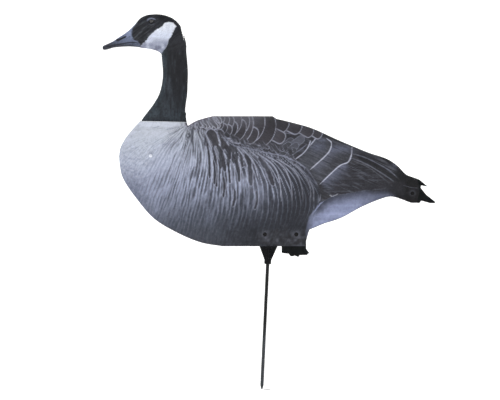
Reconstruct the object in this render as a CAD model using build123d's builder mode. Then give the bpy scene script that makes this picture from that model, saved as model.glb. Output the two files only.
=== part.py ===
"""Pack-flat Canada goose field decoy: a printed sheet folded over the back, a hollow head and neck that
lifts out, and a moulded socket that swivels on a steel ground stake.

Millimetres.  The bill points to -X, the tail to +X, +Z is up and the bird is symmetric about Y = 0.
The origin is the point where the stake goes into the ground.  The body stands level and the stake
leans, so heights on the body count from the belly edge, and places along it count from the breast.
"""
from build123d import *
from math import cos, pi, radians, sin, sqrt, tan
import os

os.makedirs("parts", exist_ok=True)

# ---------------------------------------------------------------- driving dimensions
body_length = 742.0  # breast front to tail tip
body_height = 305.0  # belly edge to the fold along the back
body_bow = 72.0  # how far each side stands out at the widest section
breast_to_stake = 0.469 * body_length  # breast front to the stake axis at the ground line
belly_height = 55.0  # belly edge above the ground line

sheet_thickness = 2.0
core_thickness = 4.0  # every flat plate that stands between the two sides
sheet_fit = 0.3  # air between a plate on the mid-plane and the sheet beside it
fold_from, fold_to = 0.295, 0.485  # the straight fold, in body lengths from the breast

neck_height = 255.0  # neck opening to the crown
head_reach = 0.2695 * body_length  # back of the neck to the bill tip, so the neck fits its opening
neck_wall = 2.0
neck_half_width = 0.1958 * body_bow  # stays inside the bowed sides at the opening
head_half_width = 19.0

stake_diameter = 7.9
journal_diameter = 7.5  # turned-down top of the stake, inside the ferrule
stake_rake = 2.69  # degrees that the stake leans, its tip towards the breast
stake_length = 330.0
stake_tip_length = 9.0
stake_drive_depth = 280.0  # how much of the stake is below the ground line

ferrule_wall = 1.6
ferrule_length = 38.0
ferrule_top = 2.5
running_gap = 0.08  # radial gap of the pieces that turn or slide on the stake

socket_top_length = 42.0
socket_end_diameter = 16.4
socket_taper_height = 31.7
socket_collar_height = 10.3
socket_thickness = 16.4
socket_flange_height = 4.5
socket_rim = 2.6
socket_pocket = 3.0
socket_rib = 2.2
tongue_height = 40.0

rivet_shank_diameter = 5.0
rivet_head_diameter = 10.0
rivet_head_height = 2.4
breast_rivet_head_diameter = 8.0
rivet_hole_gap = 0.2  # radial
rivet_seat_gap = 0.05
spacer_diameter = 9.0
cap_wall = 1.2

hoop_width = 12.0
hoop_thickness = 4.0
hoop_fit = 2.0  # air between the hoop and the sheet
hoop_setback = 14.0  # middle of the hoop behind the middle of the socket

eye_diameter = 10.0
eye_fit = 0.1
eye_length = 6.0
eye_dome_radius = 7.0
eye_stand_out = 1.6  # how far the dome stands out of the cheek at its middle

# ---------------------------------------------------------------- derived values and the body's form
breast_x = -breast_to_stake
inner_gap = core_thickness / 2 + sheet_fit
edge_gap = inner_gap + sheet_thickness  # outer face of each side where the two sides come together
rake_slope = tan(radians(stake_rake))
stake_up = Vector(sin(radians(stake_rake)), 0, cos(radians(stake_rake)))
stake_radius, journal_radius = stake_diameter / 2, journal_diameter / 2
ferrule_radius = journal_radius + running_gap + ferrule_wall
bore_radius = ferrule_radius + running_gap

# Guide lines that the bowed sides close on, as (share of body length, share of body height).
upper_guide = [
    (-0.03, 0.72), (0.0, 0.80), (0.030, 0.93), (0.066, 1.03), (0.105, 1.10), (0.139, 1.075),
    (0.179, 1.010), (0.217, 0.978), (0.255, 0.985), (0.295, 1.004), (0.40, 1.004), (0.485, 1.004),
    (0.547, 0.960), (0.612, 0.913), (0.694, 0.824), (0.784, 0.735), (0.845, 0.68), (0.880, 0.625),
    (0.91, 0.56), (0.96, 0.53), (1.03, 0.45),
]
lower_guide = [
    (-0.03, 0.66), (0.0, 0.58), (0.03, 0.44), (0.066, 0.33), (0.11, 0.20), (0.184, 0.085),
    (0.257, 0.015), (0.33, -0.02), (0.46, -0.02), (0.59, -0.02), (0.645, 0.03), (0.70, 0.11),
    (0.77, 0.24), (0.84, 0.345), (0.90, 0.345), (0.96, 0.30), (1.03, 0.28),
]


def along(share):
    """X of a place given as a share of the body length from the breast."""
    return breast_x + share * body_length


def above(share):
    """Z of a place given as a share of the body height above the belly edge."""
    return belly_height + share * body_height


def guide(points, share):
    """Smooth curve through the points of a guide line, read at one share of the body length."""
    spans = list(zip(points, points[1:]))
    index = next((i for i, (_, b) in enumerate(spans) if share <= b[0]), len(spans) - 1)
    (x0, y0), (x1, y1) = spans[index]
    before, after = points[max(index - 1, 0)], points[min(index + 2, len(points) - 1)]
    slope0 = (y1 - before[1]) / (x1 - before[0])
    slope1 = (after[1] - y0) / (after[0] - x0)
    u, run = (share - x0) / (x1 - x0), x1 - x0
    return (
        y0 * (1 + 2 * u) * (1 - u) ** 2
        + y1 * u * u * (3 - 2 * u)
        + run * (slope0 * u * (1 - u) ** 2 - slope1 * u * u * (1 - u))
    )


def bow_at(share):
    """Greatest bow of the section at a share of the body length: none at the breast and the tail."""
    share = min(max(share, 0.0), 1.0)
    return body_bow * sin(pi * share**0.85) ** 2 * (1 - share**8)


def swell(t):
    """Shape of a section from its lower guide (0) to its upper guide (1), with 1 at its fullest."""
    t = min(max(t, 0.0), 1.0)
    lower_power, upper_power = 1.8, 0.9
    peak = lower_power / (lower_power + upper_power)
    return (t / peak) ** lower_power * ((1 - t) / (1 - peak)) ** upper_power


def side_y(x, z):
    """Distance from the mid-plane to the outer face of the bowed side."""
    share = (x - breast_x) / body_length
    low, high = above(guide(lower_guide, share)), above(guide(upper_guide, share))
    return edge_gap + bow_at(share) * swell((z - low) / (high - low))


def section_points(share, inset, first=0.0, last=1.0, count=13):
    """Points (y, z) up one side of a section, moved in from the outer face by the inset."""
    x = along(share)
    low, high = above(guide(lower_guide, share)), above(guide(upper_guide, share))
    step = 0.002
    points = []
    for i in range(count):
        t = first + (last - first) * i / (count - 1)
        z = low + (high - low) * t
        here, beyond = (
            (side_y(x, low + (high - low) * v), low + (high - low) * v)
            for v in (min(t, 1 - step), min(t, 1 - step) + step)
        )
        dy, dz = beyond[0] - here[0], beyond[1] - here[1]
        size = sqrt(dy * dy + dz * dz)
        points.append((side_y(x, z) - inset * dz / size, z + inset * dy / size))
    return points


def at_share(points):
    """Turns (share of length, share of height) pairs into X, Z pairs."""
    return [(along(a), above(b)) for a, b in points]


# Places that several pieces share.
breast_rivet_share, tail_rivet_share, belly_rivet_shares = 0.101, 0.927, (0.461, 0.560)
breast_rivet_at = (along(breast_rivet_share), above(0.693))
tail_rivet_at = (along(tail_rivet_share), above(0.406))
belly_rivets_at = [(along(share), above(0.091)) for share in belly_rivet_shares]
all_rivets_at = [breast_rivet_at, tail_rivet_at, *belly_rivets_at]
neck_front, neck_back = along(0.067), along(0.214)
opening_front_z, opening_back_z = above(0.961), above(0.953)


def ring_round(place, diameter):
    """Places on a circle round a place, with the place itself."""
    x, z = place
    reach = diameter / 2
    return [place] + [(x + reach * cos(a * pi / 8), z + reach * sin(a * pi / 8)) for a in range(16)]


def rivet_seat(place, head_diameter):
    """Y at which a rivet's head clears the bowed side all round."""
    return max(side_y(*point) for point in ring_round(place, head_diameter)) + rivet_seat_gap


def inner_y(x, z):
    """Inner face of the bowed side at a place."""
    slope = side_y(x, z + 0.5) - side_y(x, z - 0.5)
    return side_y(x, z) - sheet_thickness * sqrt(1 + slope * slope)


def spacer_end(place):
    """Y at which a spacer stops short of the inner face of the bowed side."""
    return min(inner_y(*point) for point in ring_round(place, spacer_diameter)) - rivet_seat_gap


# ---------------------------------------------------------------- printed body sheet
# Outline of one side, as shares of body length and height, in the order breast, belly, rump, tail, back.
breast_line = at_share([(0.067, 0.961), (0.029, 0.857), (0.001, 0.690), (0.009, 0.545), (0.051, 0.380),
                        (0.110, 0.214), (0.184, 0.104), (0.257, 0.030), (0.326, 0.0)])
belly_end = at_share([(0.326, 0.0), (0.5885, 0.0), (0.591, 0.045), (0.601, 0.127)])
rump_line = at_share([(0.601, 0.127), (0.646, 0.173), (0.702, 0.219), (0.769, 0.306), (0.832, 0.368),
                      (0.8635, 0.381), (0.897, 0.3575), (0.922, 0.3345)])
tail_end = at_share([(0.922, 0.3345), (0.941, 0.3335), (0.949, 0.42), (0.944, 0.517)])
back_line = at_share([(0.944, 0.517), (0.908, 0.550), (0.879, 0.619), (0.8445, 0.673), (0.784, 0.723),
                      (0.694, 0.814), (0.612, 0.9035), (0.547, 0.9495), (0.497, 0.978)])
fold_line = at_share([(0.497, 0.978), (fold_to, 1.0), (fold_from, 1.0)])
nape_line = at_share([(fold_from, 1.0), (0.255, 0.972), (0.237, 0.953), (0.217, 0.9226)])
collar_line = [nape_line[-1], (neck_back, opening_back_z), (neck_front, opening_front_z)]

stations = sorted(
    [-0.01, 0.05, breast_rivet_share, 0.155, 0.205, 0.25, 0.295, 0.35, 0.405, 0.511]
    + [belly_rivet_shares[0], belly_rivet_shares[1], tail_rivet_share, 0.97]
    + [belly_rivet_shares[1] + 0.055 * i for i in range(1, 7)]
)

with BuildPart() as body_sheet:
    for side in (-1, 1):
        for station in stations:
            with BuildSketch(Plane((along(station), 0, 0), x_dir=(0, 1, 0), z_dir=(1, 0, 0))):
                with BuildLine():
                    outer = Spline(*[(side * y, z) for y, z in section_points(station, 0)])
                    inner = Spline(*[(side * y, z) for y, z in section_points(station, sheet_thickness)])
                    Line(outer @ 0, inner @ 0)
                    Line(outer @ 1, inner @ 1)
                make_face()
        loft()
    fold_middle = (along(fold_from) + along(fold_to)) / 2
    with Locations((fold_middle, 0, above(1.0) - sheet_thickness)):
        Box(along(fold_to) - along(fold_from), 2 * side_y(fold_middle, above(1.0)), 2 * sheet_thickness)
    with BuildSketch(Plane.XZ):
        with BuildLine():
            Spline(*breast_line)
            Polyline(*belly_end)
            Spline(*rump_line)
            Spline(*tail_end)
            Spline(*back_line)
            Polyline(*fold_line)
            Spline(*nape_line)
            Polyline(*collar_line)
        make_face()
    extrude(amount=2 * body_bow, both=True, mode=Mode.INTERSECT)
    for place in all_rivets_at:
        with BuildSketch(Plane.XZ):
            with Locations(place):
                Circle(rivet_shank_diameter / 2 + rivet_hole_gap)
        extrude(amount=2 * body_bow, both=True, mode=Mode.SUBTRACT)
body_sheet.part.label = "body_sheet"
export_step(body_sheet.part, "parts/body_sheet.step")

# ---------------------------------------------------------------- head and neck
# Both are read from the back of the neck at the opening: X in shares of the reach, Z in shares of the
# neck height.  The last number of each row is the section's share of the half-width.
neck_rows = [  # (z, throat x, nape x, width)
    (-0.065, -0.542, 0.000, 0.97), (0.0, -0.541, 0.000, 1.0), (0.06, -0.490, -0.014, 1.04),
    (0.129, -0.422, -0.018, 1.01), (0.22, -0.346, -0.002, 0.955), (0.34, -0.293, 0.009, 0.915),
    (0.478, -0.279, 0.012, 0.90), (0.588, -0.290, 0.002, 0.915), (0.662, -0.298, -0.009, 0.945),
    (0.76, -0.300, -0.030, 1.0), (0.846, -0.240, -0.090, 0.63),
]
head_rows = [  # (x, lower z, upper z, width)
    (-0.006, 0.600, 0.720, 0.35), (-0.030, 0.560, 0.800, 0.62), (-0.085, 0.530, 0.895, 0.86),
    (-0.20, 0.560, 0.967, 0.98), (-0.31, 0.640, 0.990, 1.0), (-0.42, 0.673, 0.990, 0.94),
    (-0.53, 0.685, 0.962, 0.80), (-0.61, 0.692, 0.900, 0.66), (-0.69, 0.694, 0.838, 0.56),
    (-0.80, 0.690, 0.778, 0.49), (-0.90, 0.680, 0.727, 0.41), (-0.978, 0.671, 0.697, 0.24),
]
bill_rows = 3  # rows at the end of the head that are solid bill
eye_share = (-0.408, 0.925)


def head_x(share):
    """X of a share of the reach, from the back of the neck."""
    return neck_back + share * head_reach


def head_z(share):
    """Z of a share of the neck height, from the neck opening."""
    return opening_back_z + share * neck_height


def oval(plane, half_length, half_width):
    """A smooth oval face on a plane, drawn through twelve points so that every seam starts alike."""
    with BuildSketch(plane) as section:
        with BuildLine():
            Spline(*[(half_length * cos(a * pi / 6), half_width * sin(a * pi / 6)) for a in range(12)],
                   periodic=True)
        make_face()
    return section.sketch.face()


def neck_sections(inset):
    """Level ovals up the neck, shrunk by the inset."""
    sections = []
    for z, throat, nape, width in neck_rows:
        middle, half = head_x((throat + nape) / 2), (nape - throat) / 2 * head_reach
        plane = Plane((middle, 0, head_z(z)), x_dir=(1, 0, 0), z_dir=(0, 0, 1))
        sections.append(oval(plane, half - inset, width * neck_half_width - inset))
    return sections


def head_sections(rows, inset):
    """Upright ovals from the back of the head to the bill, shrunk by the inset."""
    sections = []
    for x, low, high, width in rows:
        middle, half = head_z((low + high) / 2), (high - low) / 2 * neck_height
        plane = Plane((head_x(x), 0, middle), x_dir=(0, 0, 1), z_dir=(1, 0, 0))
        sections.append(oval(plane, half - inset, width * head_half_width - inset))
    return sections


def head_half_width_at(share, z_share):
    """Half-width of the head at an X share and a Z share, read between its rows."""
    for (x0, *from_row), (x1, *to_row) in zip(head_rows, head_rows[1:]):
        if x1 <= share <= x0:
            u = (x0 - share) / (x0 - x1)
            low, high, width = (a + (b - a) * u for a, b in zip(from_row, to_row))
            offset = (z_share - (low + high) / 2) / ((high - low) / 2)
            return width * head_half_width * sqrt(1 - offset * offset)
    raise ValueError("the share lies outside the head")


eye_place = (head_x(eye_share[0]), head_z(eye_share[1]))
eye_seat_y = head_half_width_at(*eye_share) + eye_stand_out - eye_length

with BuildPart() as head_shell:
    loft(neck_sections(0))
    loft(head_sections(head_rows, 0))
    with BuildPart(mode=Mode.PRIVATE) as hollow:
        loft(neck_sections(neck_wall))
        loft(head_sections(head_rows[1:-bill_rows], neck_wall))
    add(hollow.part, mode=Mode.SUBTRACT)
    for side in (-1, 1):
        with BuildSketch(Plane.XZ.offset(-side * eye_seat_y)):
            with Locations(eye_place):
                Circle(eye_diameter / 2 + eye_fit)
        extrude(amount=-side * head_half_width, mode=Mode.SUBTRACT)
head_shell.part.label = "head_shell"
export_step(head_shell.part, "parts/head_shell.step")

for name, side in (("left_eye", -1), ("right_eye", 1)):
    with BuildPart() as eye:
        with BuildSketch(Plane.XZ.offset(-side * eye_seat_y)):
            with Locations(eye_place):
                Circle(eye_diameter / 2)
        extrude(amount=-side * eye_length)
        with Locations((eye_place[0], side * (eye_seat_y + eye_length - eye_dome_radius), eye_place[1])):
            Sphere(eye_dome_radius, mode=Mode.INTERSECT)
    eye.part.label = name
    export_step(eye.part, f"parts/{name}.step")

# ---------------------------------------------------------------- neck tongue
# A plug closes the neck, and its tongue goes down between the sides and forks over the breast rivet.
tongue_clearance = 0.4  # air between the fork and the rivet's shank
tongue_front, tongue_back = neck_front + 10.0, neck_back - 28.0
tongue_tip_length = 34.0
tongue_tip_drop = 13.0  # how far the fork reaches below the rivet
with BuildPart() as neck_tongue:
    loft(neck_sections(neck_wall + sheet_fit)[:2])
    plug_bottom = head_z(neck_rows[0][0])
    tip_z = breast_rivet_at[1] - tongue_tip_drop
    tip_front = breast_rivet_at[0] - tongue_tip_length / 2
    with BuildSketch(Plane.XZ):
        with BuildLine():
            Polyline((tongue_front, plug_bottom + 1), (tip_front, tip_z),
                     (tip_front + tongue_tip_length, tip_z), (tongue_back, plug_bottom - 20),
                     (tongue_back, plug_bottom + 1), (tongue_front, plug_bottom + 1))
        make_face()
        fillet(vertices().group_by(Axis.Y)[0], radius=6)
        slot_half = rivet_shank_diameter / 2 + tongue_clearance
        with Locations(breast_rivet_at):
            Circle(slot_half, mode=Mode.SUBTRACT)
            Rectangle(2 * slot_half, 2 * tongue_tip_drop, align=(Align.CENTER, Align.MAX),
                      mode=Mode.SUBTRACT)
    extrude(amount=core_thickness / 2, both=True)
neck_tongue.part.label = "neck_tongue"
export_step(neck_tongue.part, "parts/neck_tongue.step")

# ---------------------------------------------------------------- rivets, their caps and spacers
cap_height = rivet_head_height + cap_wall


def across(place, y):
    """Plane through a place, looking across the bird, at a distance from the mid-plane."""
    return Plane((place[0], y, place[1]), x_dir=(1, 0, 0), z_dir=(0, 1, 0))


def rivet_node(name, places, head_diameter):
    """Domed pins from the left side, through both sides of the sheet."""
    with BuildPart() as pins:
        for place in places:
            seat = rivet_seat(place, head_diameter)
            with BuildSketch(across(place, -seat)):
                Circle(rivet_shank_diameter / 2)
            extrude(amount=2 * seat + rivet_head_height)
            with BuildPart(mode=Mode.PRIVATE) as dome:
                with BuildSketch(across(place, -seat)):
                    Circle(head_diameter / 2)
                extrude(amount=-rivet_head_height)
                fillet(dome.edges().sort_by(Axis.Y)[0], radius=rivet_head_height * 0.8)
            add(dome.part)
    pins.part.label = name
    export_step(pins.part, f"parts/{name}.step")


def cap_node(name, places, head_diameter):
    """Domed caps on the right side, each pushed over the end of its pin."""
    with BuildPart() as caps:
        for place in places:
            seat = rivet_seat(place, head_diameter)
            with BuildPart(mode=Mode.PRIVATE) as cap:
                with BuildSketch(across(place, seat)):
                    Circle(head_diameter / 2)
                extrude(amount=cap_height)
                fillet(cap.edges().sort_by(Axis.Y)[-1], radius=rivet_head_height * 0.8)
                with BuildSketch(across(place, seat)):
                    Circle(rivet_shank_diameter / 2 + rivet_seat_gap)
                extrude(amount=rivet_head_height + rivet_seat_gap, mode=Mode.SUBTRACT)
            add(cap.part)
    caps.part.label = name
    export_step(caps.part, f"parts/{name}.step")


def spacer_node(name, places, core_gap):
    """Sleeves on the pins, from the plate on the mid-plane out to each side of the sheet."""
    with BuildPart() as sleeves:
        for place in places:
            for side in (-1, 1):
                start = side * (core_thickness / 2 + core_gap)
                with BuildSketch(across(place, start)):
                    Circle(spacer_diameter / 2)
                    Circle(rivet_shank_diameter / 2 + rivet_hole_gap, mode=Mode.SUBTRACT)
                extrude(amount=side * spacer_end(place) - start)
    sleeves.part.label = name
    export_step(sleeves.part, f"parts/{name}.step")


for group, places, diameter, core_gap in (
    ("breast", [breast_rivet_at], breast_rivet_head_diameter, sheet_fit),
    ("tail", [tail_rivet_at], rivet_head_diameter, rivet_seat_gap),
    ("belly", belly_rivets_at, rivet_head_diameter, rivet_seat_gap),
):
    rivet_node(f"{group}_rivet", places, diameter)
    cap_node(f"{group}_rivet_cap", places, diameter)
    spacer_node(f"{group}_spacer", places, core_gap)

# ---------------------------------------------------------------- tail plate and feet plate
tail_outline = at_share([
    (0.880, 0.385), (0.898, 0.358), (0.922, 0.335), (0.949, 0.332), (0.955, 0.350), (0.983, 0.331),
    (0.998, 0.331), (1.0, 0.340), (0.971, 0.396), (0.953, 0.450), (0.955, 0.468), (0.976, 0.458),
    (0.949, 0.512), (0.912, 0.545), (0.890, 0.520),
])
with BuildPart() as tail_plate:
    with BuildSketch(Plane.XZ):
        with BuildLine():
            Polyline(*tail_outline, close=True)
        make_face()
        with Locations(tail_rivet_at):
            Circle(rivet_shank_diameter / 2 + rivet_hole_gap, mode=Mode.SUBTRACT)
    extrude(amount=core_thickness / 2, both=True)
tail_plate.part.label = "tail_plate"
export_step(tail_plate.part, "parts/tail_plate.step")

feet_outline = at_share([
    (0.514, 0.10), (0.514, -0.049), (0.520, -0.054), (0.537, -0.058), (0.539, -0.070), (0.544, -0.078),
    (0.551, -0.077), (0.555, -0.072), (0.5665, -0.083), (0.571, -0.069), (0.594, -0.0675),
    (0.601, -0.0515), (0.5915, -0.0195), (0.5915, 0.042), (0.6005, 0.122), (0.58, 0.145), (0.53, 0.145),
])
with BuildPart() as feet_plate:
    with BuildSketch(Plane.XZ):
        with BuildLine():
            Polyline(*feet_outline, close=True)
        make_face()
        with Locations(belly_rivets_at[1]):
            Circle(rivet_shank_diameter / 2 + rivet_hole_gap, mode=Mode.SUBTRACT)
    extrude(amount=core_thickness / 2, both=True)
feet_plate.part.label = "feet_plate"
export_step(feet_plate.part, "parts/feet_plate.step")

# ---------------------------------------------------------------- stake, ferrule and socket
def on_stake(height):
    """Plane across the stake where its axis is at a height above the ground line."""
    return Plane((height * rake_slope, 0, height), x_dir=(0, 1, 0), z_dir=stake_up)


stake_top = (stake_length - stake_drive_depth) * cos(radians(stake_rake))
journal_length = ferrule_length - ferrule_top
with BuildPart() as stake_rod:
    with BuildSketch(on_stake(stake_top)):
        Circle(journal_radius)
    extrude(amount=-(journal_length + 1))
    with BuildSketch(on_stake(stake_top - journal_length * cos(radians(stake_rake)))):
        Circle(stake_radius)
    extrude(amount=-(stake_length - stake_tip_length - journal_length))
    with BuildSketch(Plane(stake_rod.faces().sort_by(Axis.Z)[0])):
        Circle(stake_radius)
    extrude(amount=stake_tip_length, taper=14)
stake_rod.part.label = "stake_rod"
export_step(stake_rod.part, "parts/stake_rod.step")

ferrule_roof = stake_top + (running_gap + ferrule_top) * cos(radians(stake_rake))
with BuildPart() as stake_ferrule:
    with BuildSketch(on_stake(ferrule_roof)):
        Circle(ferrule_radius)
    extrude(amount=-ferrule_length)
    with BuildSketch(on_stake(stake_top + running_gap)):
        Circle(journal_radius + running_gap)
    extrude(amount=-ferrule_length, mode=Mode.SUBTRACT)
stake_ferrule.part.label = "stake_ferrule"
export_step(stake_ferrule.part, "parts/stake_ferrule.step")

socket_middle = belly_height * rake_slope
socket_low = belly_height - socket_taper_height
socket_end = socket_low - socket_collar_height
boss_radius = bore_radius + 1.6
with BuildPart() as stake_socket:
    taper = [(socket_middle - socket_top_length / 2, belly_height),
             (socket_middle + socket_top_length / 2, belly_height),
             (socket_low * rake_slope + socket_end_diameter / 2, socket_low),
             (socket_low * rake_slope - socket_end_diameter / 2, socket_low)]
    with BuildSketch(Plane.XZ):
        with BuildLine():
            Polyline(*taper, close=True)
        make_face()
    extrude(amount=socket_thickness / 2, both=True)
    with BuildSketch(Plane.XZ) as pocket_face:  # the field inside the rim and under the flange
        with BuildLine():
            Polyline(*taper, close=True)
        make_face()
        offset(amount=-socket_rim, mode=Mode.REPLACE)
        with Locations((socket_middle, belly_height)):
            Rectangle(2 * socket_top_length, 2 * socket_flange_height, mode=Mode.SUBTRACT)
        with Locations((socket_middle - 2 * socket_rib, (belly_height + socket_low) / 2)):
            Rectangle(socket_rib, 2 * socket_taper_height, rotation=-2, mode=Mode.SUBTRACT)
        with Locations((socket_middle + 2 * socket_rib, (belly_height + socket_low) / 2)):
            Rectangle(socket_rib, 2 * socket_taper_height, rotation=-20, mode=Mode.SUBTRACT)
    for side in (-1, 1):
        with BuildSketch(Plane.XZ.offset(side * (socket_thickness / 2 - socket_pocket))):
            add(pocket_face.sketch)
        extrude(amount=side * socket_pocket, mode=Mode.SUBTRACT)
    with BuildSketch(on_stake(socket_end)):
        Circle(socket_end_diameter / 2)
    extrude(amount=socket_collar_height + socket_rim)
    chamfer(stake_socket.edges().group_by(Axis.Z)[0], length=1.4)
    with BuildSketch(on_stake(socket_end)):
        Circle(boss_radius)
    extrude(amount=belly_height - socket_flange_height - socket_end)
    with BuildSketch(Plane.XZ):
        with Locations((socket_middle, belly_height - 1)):
            Rectangle(socket_top_length, tongue_height + 1, align=(Align.CENTER, Align.MIN))
    extrude(amount=core_thickness / 2, both=True)
    with BuildSketch(on_stake(ferrule_roof + running_gap)):
        Circle(bore_radius)
    extrude(amount=-2 * socket_taper_height, mode=Mode.SUBTRACT)
    with BuildSketch(Plane.XZ):
        with Locations(belly_rivets_at[0]):
            Circle(rivet_shank_diameter / 2 + rivet_hole_gap)
    extrude(amount=core_thickness, both=True, mode=Mode.SUBTRACT)
stake_socket.part.label = "stake_socket"
export_step(stake_socket.part, "parts/stake_socket.step")

# ---------------------------------------------------------------- hoop that holds the sides apart
hoop_x = socket_middle + hoop_setback
hoop_share = (hoop_x - breast_x) / body_length
hoop_foot_z = belly_height + tongue_height
hoop_crown = 0.975


def hoop_outline(inset, foot_z):
    """Closed outline of the hoop in Y and Z: up the right side, across the crown, down the left."""
    low, high = above(guide(lower_guide, hoop_share)), above(guide(upper_guide, hoop_share))
    right = section_points(hoop_share, inset, (foot_z - low) / (high - low), hoop_crown, 9)
    left = [(-y, z) for y, z in reversed(right)]
    return right, left


with BuildPart() as spreader_hoop:
    for inset, foot_z, mode in (
        (sheet_thickness + hoop_fit, hoop_foot_z, Mode.ADD),
        (sheet_thickness + hoop_fit + hoop_thickness, hoop_foot_z + hoop_thickness, Mode.SUBTRACT),
    ):
        right, left = hoop_outline(inset, foot_z)
        with BuildSketch(Plane((hoop_x, 0, 0), x_dir=(0, 1, 0), z_dir=(1, 0, 0))):
            with BuildLine():
                Spline(*right)
                Line(right[-1], left[0])
                Spline(*left)
                Line(left[-1], right[0])
            make_face()
        extrude(amount=hoop_width / 2, both=True, mode=mode)
spreader_hoop.part.label = "spreader_hoop"
export_step(spreader_hoop.part, "parts/spreader_hoop.step")
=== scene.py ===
# %% [markdown]
# # A goose field decoy on a stake
# The real object is a bird folded from one printed plastic sheet. The two sides bow outwards, a hollow
# black head and neck drops in between them, and a moulded socket underneath turns on a steel stake.
# The engineering model already holds every part that moves or fastens. This lesson loads it as a fixed
# frame and builds what the eye sees: the bowed sheet with its printed plumage, the head, and a finish
# for each part.

# %% Load the frame
import math
import bpy
import numpy as np
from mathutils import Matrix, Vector


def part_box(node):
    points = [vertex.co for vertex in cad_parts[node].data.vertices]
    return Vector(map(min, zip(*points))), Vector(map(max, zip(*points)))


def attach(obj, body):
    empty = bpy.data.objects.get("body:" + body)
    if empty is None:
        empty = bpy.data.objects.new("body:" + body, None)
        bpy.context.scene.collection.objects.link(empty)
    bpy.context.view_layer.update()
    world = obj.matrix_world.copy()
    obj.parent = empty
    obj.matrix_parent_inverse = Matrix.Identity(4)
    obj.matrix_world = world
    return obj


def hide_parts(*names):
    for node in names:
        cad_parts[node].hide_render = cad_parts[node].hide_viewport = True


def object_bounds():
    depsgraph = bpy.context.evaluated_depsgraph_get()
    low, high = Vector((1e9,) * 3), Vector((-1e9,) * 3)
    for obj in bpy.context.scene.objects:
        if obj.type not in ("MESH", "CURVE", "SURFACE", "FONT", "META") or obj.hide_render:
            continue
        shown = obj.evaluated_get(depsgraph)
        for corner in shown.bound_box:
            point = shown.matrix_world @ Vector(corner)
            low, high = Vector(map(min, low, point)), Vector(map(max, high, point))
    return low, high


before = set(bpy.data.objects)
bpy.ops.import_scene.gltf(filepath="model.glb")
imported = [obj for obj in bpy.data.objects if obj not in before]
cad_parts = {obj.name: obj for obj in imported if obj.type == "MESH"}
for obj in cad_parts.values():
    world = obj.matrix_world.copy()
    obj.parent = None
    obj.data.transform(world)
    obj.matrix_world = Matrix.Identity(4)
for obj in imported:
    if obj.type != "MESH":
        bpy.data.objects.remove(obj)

cad_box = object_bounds()
rng = np.random.default_rng(7)
print("CAD box", cad_box)

# %% [markdown]
# The body's place and size are read from the frame. The sheet gives the breast, the belly edge and the
# fold, and the tail plate gives the tail tip, so the print and the outline follow the model.

# %% Places read from the frame
sheet_low, sheet_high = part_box("body_sheet")
tail_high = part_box("tail_plate")[1]
breast_x, belly_z = sheet_low[0], sheet_low[2]
body_length = tail_high[0] - breast_x
body_height = sheet_high[2] - belly_z
MM = 0.001
sheet_thickness = 2 * MM
edge_gap = 4.3 * MM
body_bow = sheet_high[1] - edge_gap
print("body", round(body_length, 4), "x", round(body_height, 4), "bow", round(body_bow, 4))

# %% [markdown]
# The camera comes first. The decoy is seen square from its left side with a long lens, so almost no
# perspective shows.

# %% Camera
view_width = 1.172608  # metres across the frame at the bird
view_distance = 6.0
view_centre = Vector((-0.0408, 0.0, 0.1633))
camera_data = bpy.data.cameras.new("side_camera")
camera_data.sensor_width = 36.0
camera_data.lens = 36.0 * view_distance / view_width
camera = bpy.data.objects.new("side_camera", camera_data)
camera.location = view_centre + Vector((0, -view_distance, 0))
camera.rotation_euler = (math.radians(90), 0, 0)
bpy.context.collection.objects.link(camera)
bpy.context.scene.camera = camera
print("lens", round(camera_data.lens, 1), "mm")

# %% [markdown]
# A white sweep, a floor that curves up into a wall, gives a clean pale ground from every side. It is a
# stage, and it is named as one. Broad area lights keep the shadows soft.

# %% Stage and light
def surface_from_grid(name, points, closed_u=False):
    """Mesh object from a grid of points, rows by columns; closed_u joins the last column to the first."""
    rows, columns = points.shape[:2]
    index = np.arange(rows * columns).reshape(rows, columns)
    right = np.roll(index, -1, axis=1) if closed_u else index[:, 1:]
    left = index if closed_u else index[:, :-1]
    faces = np.stack([left[:-1], right[:-1], right[1:], left[1:]], axis=-1).reshape(-1, 4)
    mesh = bpy.data.meshes.new(name)
    mesh.from_pydata(points.reshape(-1, 3).tolist(), [], faces.tolist())
    mesh.shade_smooth()
    piece = bpy.data.objects.new(name, mesh)
    bpy.context.collection.objects.link(piece)
    return piece


floor_z = float(cad_box[0][2]) - 0.001
stage_white, stage_glow, sky_strength = 0.93, 0.50, 0.21
stage_half, sweep_radius, wall_height = 9.0, 2.5, 7.0
sweep_start = stage_half - sweep_radius
profile = [(0.01, 0.0), (sweep_start, 0.0)]
profile += [(sweep_start + sweep_radius * math.sin(a), sweep_radius - sweep_radius * math.cos(a))
            for a in np.linspace(0.1, math.pi / 2, 14)]
profile += [(stage_half, wall_height)]
ring = np.array([[[r[0] * math.cos(t), r[0] * math.sin(t), floor_z + r[1]]
                  for t in np.linspace(0, 2 * math.pi, 48, endpoint=False)]
                 for r in profile])
stage = surface_from_grid("stage_sweep", ring, closed_u=True)
stage_paint = bpy.data.materials.new("stage_white")
stage_paint.use_nodes = True
stage_shader = stage_paint.node_tree.nodes["Principled BSDF"]
stage_shader.inputs["Base Color"].default_value = (stage_white, stage_white, stage_white, 1)
stage_shader.inputs["Roughness"].default_value = 0.9
stage_shader.inputs["Emission Color"].default_value = (1, 1, 1, 1)
stage_shader.inputs["Emission Strength"].default_value = stage_glow
stage.data.materials.append(stage_paint)


def area_light(name, place, target, size, power):
    """A square soft light at a place, aimed at a target."""
    light = bpy.data.lights.new(name, "AREA")
    light.size, light.energy = size, power
    lamp = bpy.data.objects.new(name, light)
    lamp.location = place
    lamp.rotation_euler = (Vector(target) - Vector(place)).to_track_quat("-Z", "Y").to_euler()
    bpy.context.collection.objects.link(lamp)


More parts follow.
